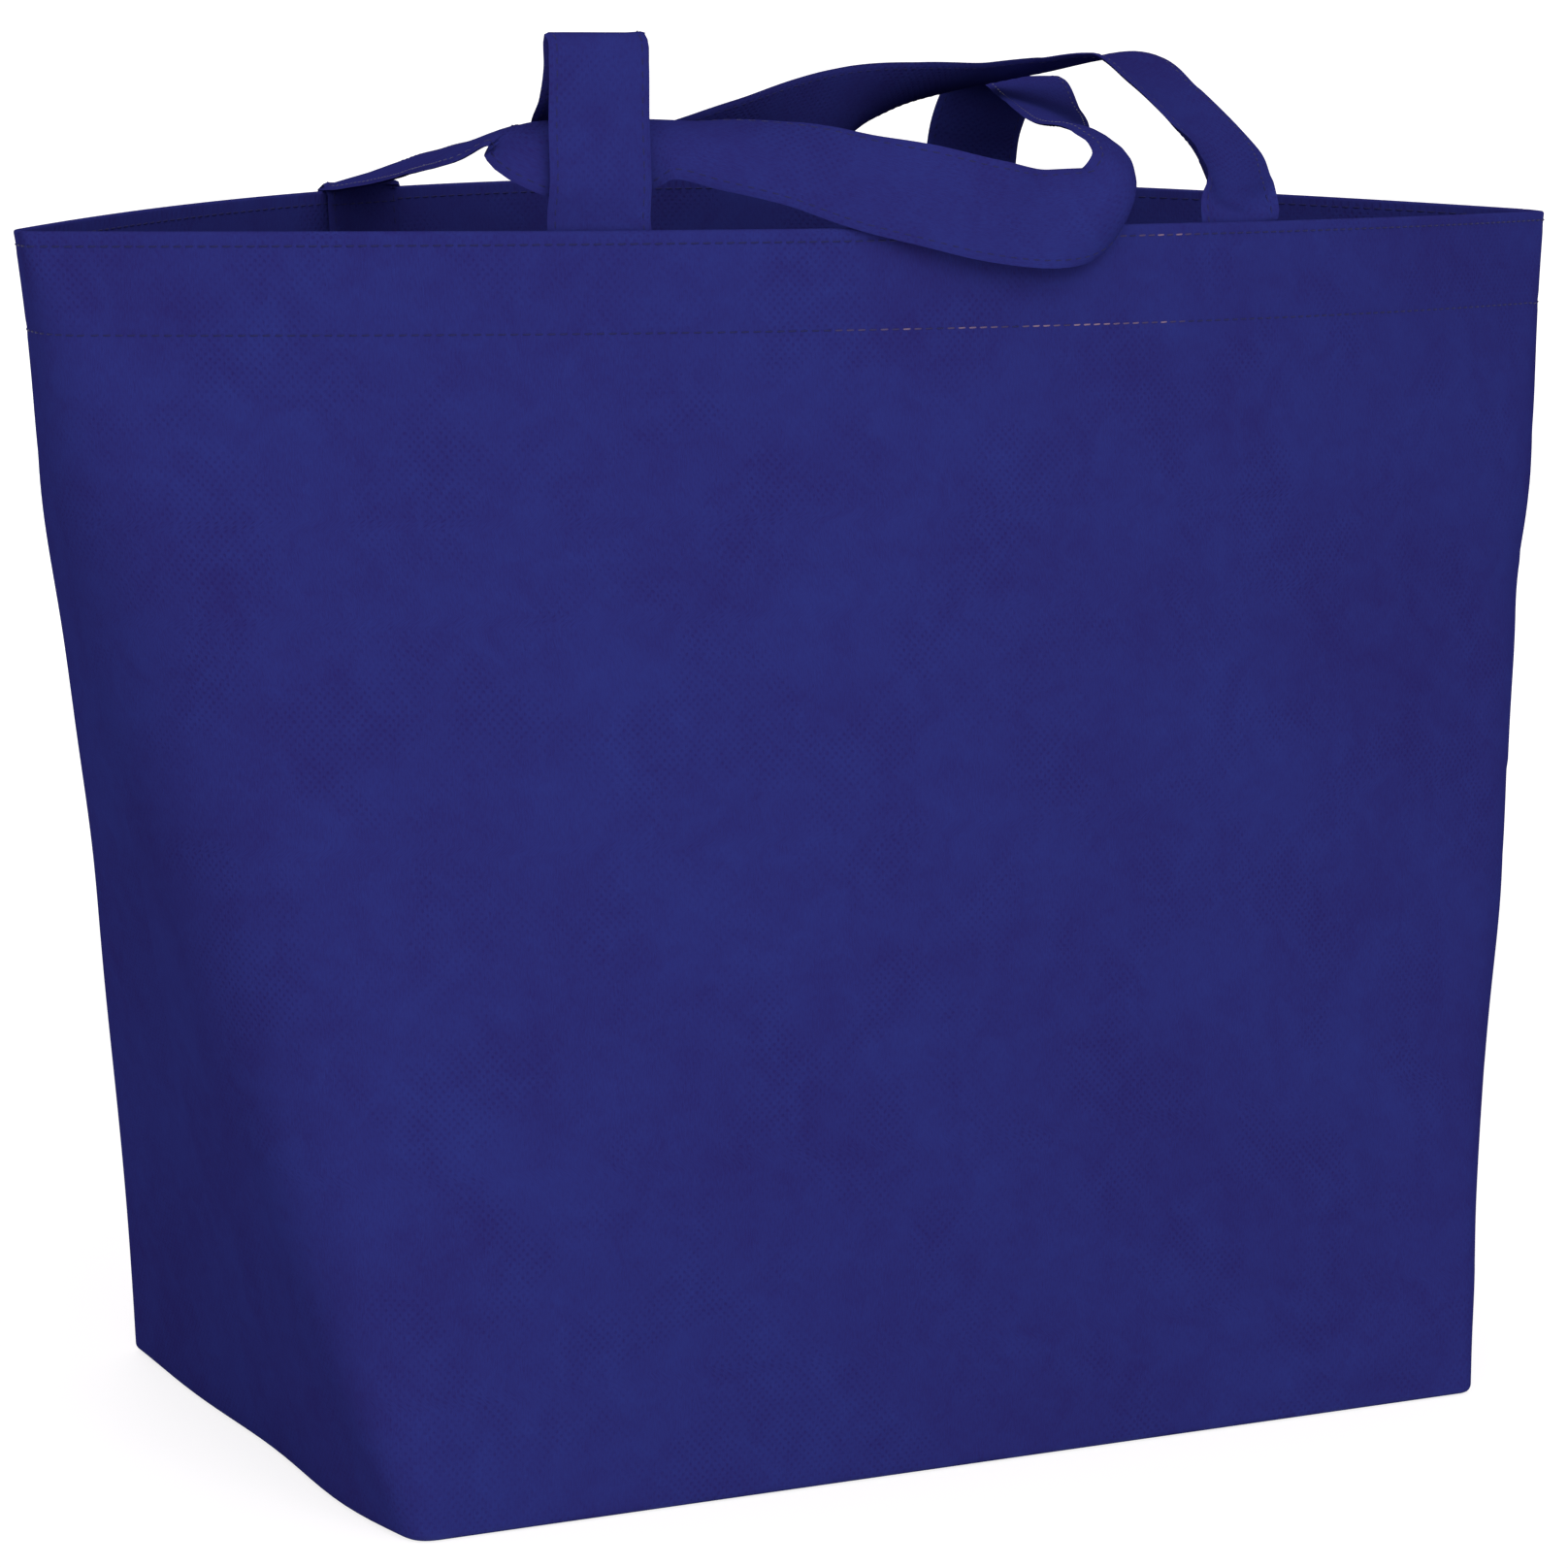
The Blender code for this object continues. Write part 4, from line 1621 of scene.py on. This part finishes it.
    def edge_row(self, path: list[Station], edge: float, face: int) -> StitchRow:
        """Stitches beside one edge of the strap, on one face.

        Args:
            path: Steps of the path.
            edge: Which edge, -1 or 1.
            face: 1 for the upper face and -1 for the lower one.

        Returns:
            The row.
        """
        place = edge * (1 - 2 * self.stitch_inset / self.width)
        line = []
        facing = []
        for index, section, along in self.sections(path):
            rise = self.ripple(along, place, index, len(path))
            line.append(section.at(place, face * self.half_thickness(place) + rise))
            facing.append(section.facing(place) * face)
        return StitchRow(line, facing, pitch=self.edge_pitch)

    def seat_rows(self) -> list[StitchRow]:
        """The hem's two rows where they cross the strap's ends, on the inside of the bag.

        Returns:
            The rows, high and low, of both ends.
        """
        rows = []
        for side in Side:
            for drop in (self.high_row, self.form.hem_depth - self.low_row):
                seat = self.seat(side, drop)
                across = seat.way.normalized()
                out = Vector((0, 0, 1)).cross(across)
                if out.y * self.panel.value > 0:
                    out = -out
                surface = seat.centre + out * self.thickness / 2
                reach = self.width / 2 - self.row_margin
                line = [surface - across * reach, surface + across * reach]
                rows.append(StitchRow(line, [out, out]))
        return rows


@dataclass(frozen=True)
class Section:
    """A strap's cross-section in space.

    Attributes:
        centre: Middle of the strap, before the cupping.
        across: Direction across it.
        normal: Direction that its upper face faces.
        narrow: Half its width as it lies.
        depth: How deeply it is cupped.
        level: Share of that depth by which its middle stands over the centre.
    """

    centre: Vector
    across: Vector
    normal: Vector
    narrow: float
    depth: float
    level: float = 0.4

    def facing(self, place: float) -> Vector:
        """Normal of the strap's upper face at a place across it."""
        slope = -2 * self.depth * place / self.narrow
        return (self.normal - self.across * slope).normalized()

    def at(self, place: float, height: float) -> Vector:
        """Point at a place across the strap and a height over its middle surface.

        Args:
            place: Place across the strap, from -1 to 1.
            height: Height over its middle surface.

        Returns:
            The point.
        """
        middle = (self.centre + self.across * (self.narrow * place)
                  + self.normal * (self.depth * (self.level - place ** 2)))
        return middle + self.facing(place) * height


# Studio


@dataclass
class Studio:
    """Pale floor, soft lamps and the camera."""

    eye: tuple[float, float, float] = (-0.6551, -1.3230, 0.4128)
    yaw: float = radians(26.2377)
    pitch: float = radians(9.7283)
    focal_pixels: float = 5851.6
    sensor: float = 36.0
    far: float = 100.0
    floor_side: float = 60.0
    floor_gap: float = 0.0002
    floor_paint: Colour = (0.8, 0.8, 0.8, 1.0)
    floor_seen: Colour = (0.34, 0.34, 0.34, 1.0)
    floor_glow: tuple[float, float, float, float] = (0.2, 1.6, 0.78, 1.0)
    white: Colour = (1.0, 1.0, 1.0, 1.0)
    surround: Colour = (1.0, 0.88, 0.95, 1.0)
    surround_strength: float = 0.64
    lit_point: tuple[float, float, float] = (0.0, 0.0, 0.17)
    lamps: tuple[tuple[str, tuple[float, float, float], float, float], ...] = (
        ("left", (-1.3, -2.1, 0.70), 1.3, 15.5),
        ("front", (-0.1, -2.1, 1.45), 1.3, 17.0),
        ("top", (0.1, -1.3, 2.4), 2.4, 6.0),
        ("back", (0.4, 2.4, 1.3), 1.6, 16.0),
    )

    def build(self) -> None:
        """Make the floor, the lamps, the world and the camera."""
        bpy.context.scene.view_settings.view_transform = "Standard"
        self.floor()
        for lamp in self.lamps:
            self.lamp(*lamp)
        self.world()
        self.camera()

    def floor(self) -> None:
        """Wide pale floor that shows as white and keeps a soft shadow."""
        bpy.ops.object.select_all(action="DESELECT")
        bpy.ops.mesh.primitive_plane_add(size=self.floor_side, location=(0, 0, -self.floor_gap))
        plane = bpy.context.object
        plane.name = "floor"
        nodes = Nodes(bpy.data.materials.new("floor_paint"))
        nodes.set(Base_Color=self.floor_paint, Roughness=0.9, Specular_IOR_Level=0.0)
        matt = nodes.add("BsdfDiffuse", {"Color": self.floor_seen})
        place = nodes.add("TexCoord").outputs["Object"]
        away = nodes.add("VectorMath", {0: place}, operation="LENGTH").outputs["Value"]
        strength = nodes.ramp(away, *self.floor_glow)
        glow = nodes.add("Emission", {"Color": self.white, "Strength": strength})
        both = nodes.add("AddShader", {0: matt.outputs[0], 1: glow.outputs[0]})
        seen = self.seen(nodes, "Is Camera Ray", "Is Glossy Ray", "Is Transmission Ray")
        mixed = nodes.add("MixShader", {0: seen, 1: nodes.shader.outputs[0],
                                        2: both.outputs[0]})
        nodes.feed(nodes.tree.nodes["Material Output"].inputs["Surface"], mixed.outputs[0])
        plane.data.materials.append(nodes.owner)

    def lamp(self, name: str, place: tuple[float, float, float], side: float,
             power: float) -> None:
        """Place a square soft lamp that faces the bag.

        Args:
            name: Name of the lamp.
            place: Where it stands.
            side: Length of its sides.
            power: Its power in watts.
        """
        bpy.ops.object.select_all(action="DESELECT")
        bpy.ops.object.light_add(type="AREA", location=place)
        lamp = bpy.context.object
        lamp.name = name
        lamp.data.size = side
        lamp.data.energy = power
        toward = Vector(self.lit_point) - Vector(place)
        lamp.rotation_euler = toward.to_track_quat("-Z", "Y").to_euler()

    def world(self) -> None:
        """Plain grey light from all round, which shows as white."""
        world = bpy.data.worlds.new("studio")
        bpy.context.scene.world = world
        nodes = Nodes(world, "Background")
        seen = self.seen(nodes, "Is Camera Ray", "Is Transmission Ray")
        strength = nodes.add("MapRange", {"Value": seen, "To Min": self.surround_strength,
                                          "To Max": 1.0})
        nodes.set(Strength=strength.outputs["Result"],
                  Color=nodes.tint(seen, self.surround, self.white))

    @staticmethod
    def seen(nodes: Nodes, *rays: str) -> bpy.types.NodeSocket:
        """Socket that is 1 for these kinds of ray and 0 for the others.

        Args:
            nodes: Nodes of a material or the world.
            rays: Names of the kinds of ray.

        Returns:
            The socket.
        """
        path = nodes.add("LightPath")
        kinds = [path.outputs[ray] for ray in rays]
        whole = kinds[-1]
        for kind in kinds[-2::-1]:
            whole = nodes.math("MAXIMUM", kind, whole)
        return whole

    def camera(self) -> None:
        """Camera at the photograph's viewing angle."""
        data = bpy.data.cameras.new("camera")
        data.sensor_width = self.sensor
        data.lens = self.focal_pixels * self.sensor / IMAGE_SIDE
        data.clip_end = self.far
        camera = bpy.data.objects.new("camera", data)
        bpy.context.scene.collection.objects.link(camera)
        camera.location = self.eye
        camera.rotation_euler = (pi / 2 - self.pitch, 0, -self.yaw)
        bpy.context.scene.camera = camera


def main() -> None:
    """Build the tote's looks and the studio."""
    logging.basicConfig(level=logging.INFO, format="%(name)s: %(message)s")
    form = ToteForm()
    thread = SewingThread().build()
    ToteBody(form).build(thread)
    StrapHandle(form, "front_strap", "front_handle", "front_strap_cloth", Panel.FRONT,
                FRONT_ROUTE, EmbossedCloth("front_strap_looks")).build(thread)
    StrapHandle(form, "back_strap", "back_handle", "back_strap_cloth", Panel.BACK,
                BACK_ROUTE, EmbossedCloth("back_strap_looks")).build(thread)
    Studio().build()


if __name__ == "__main__":
    main()
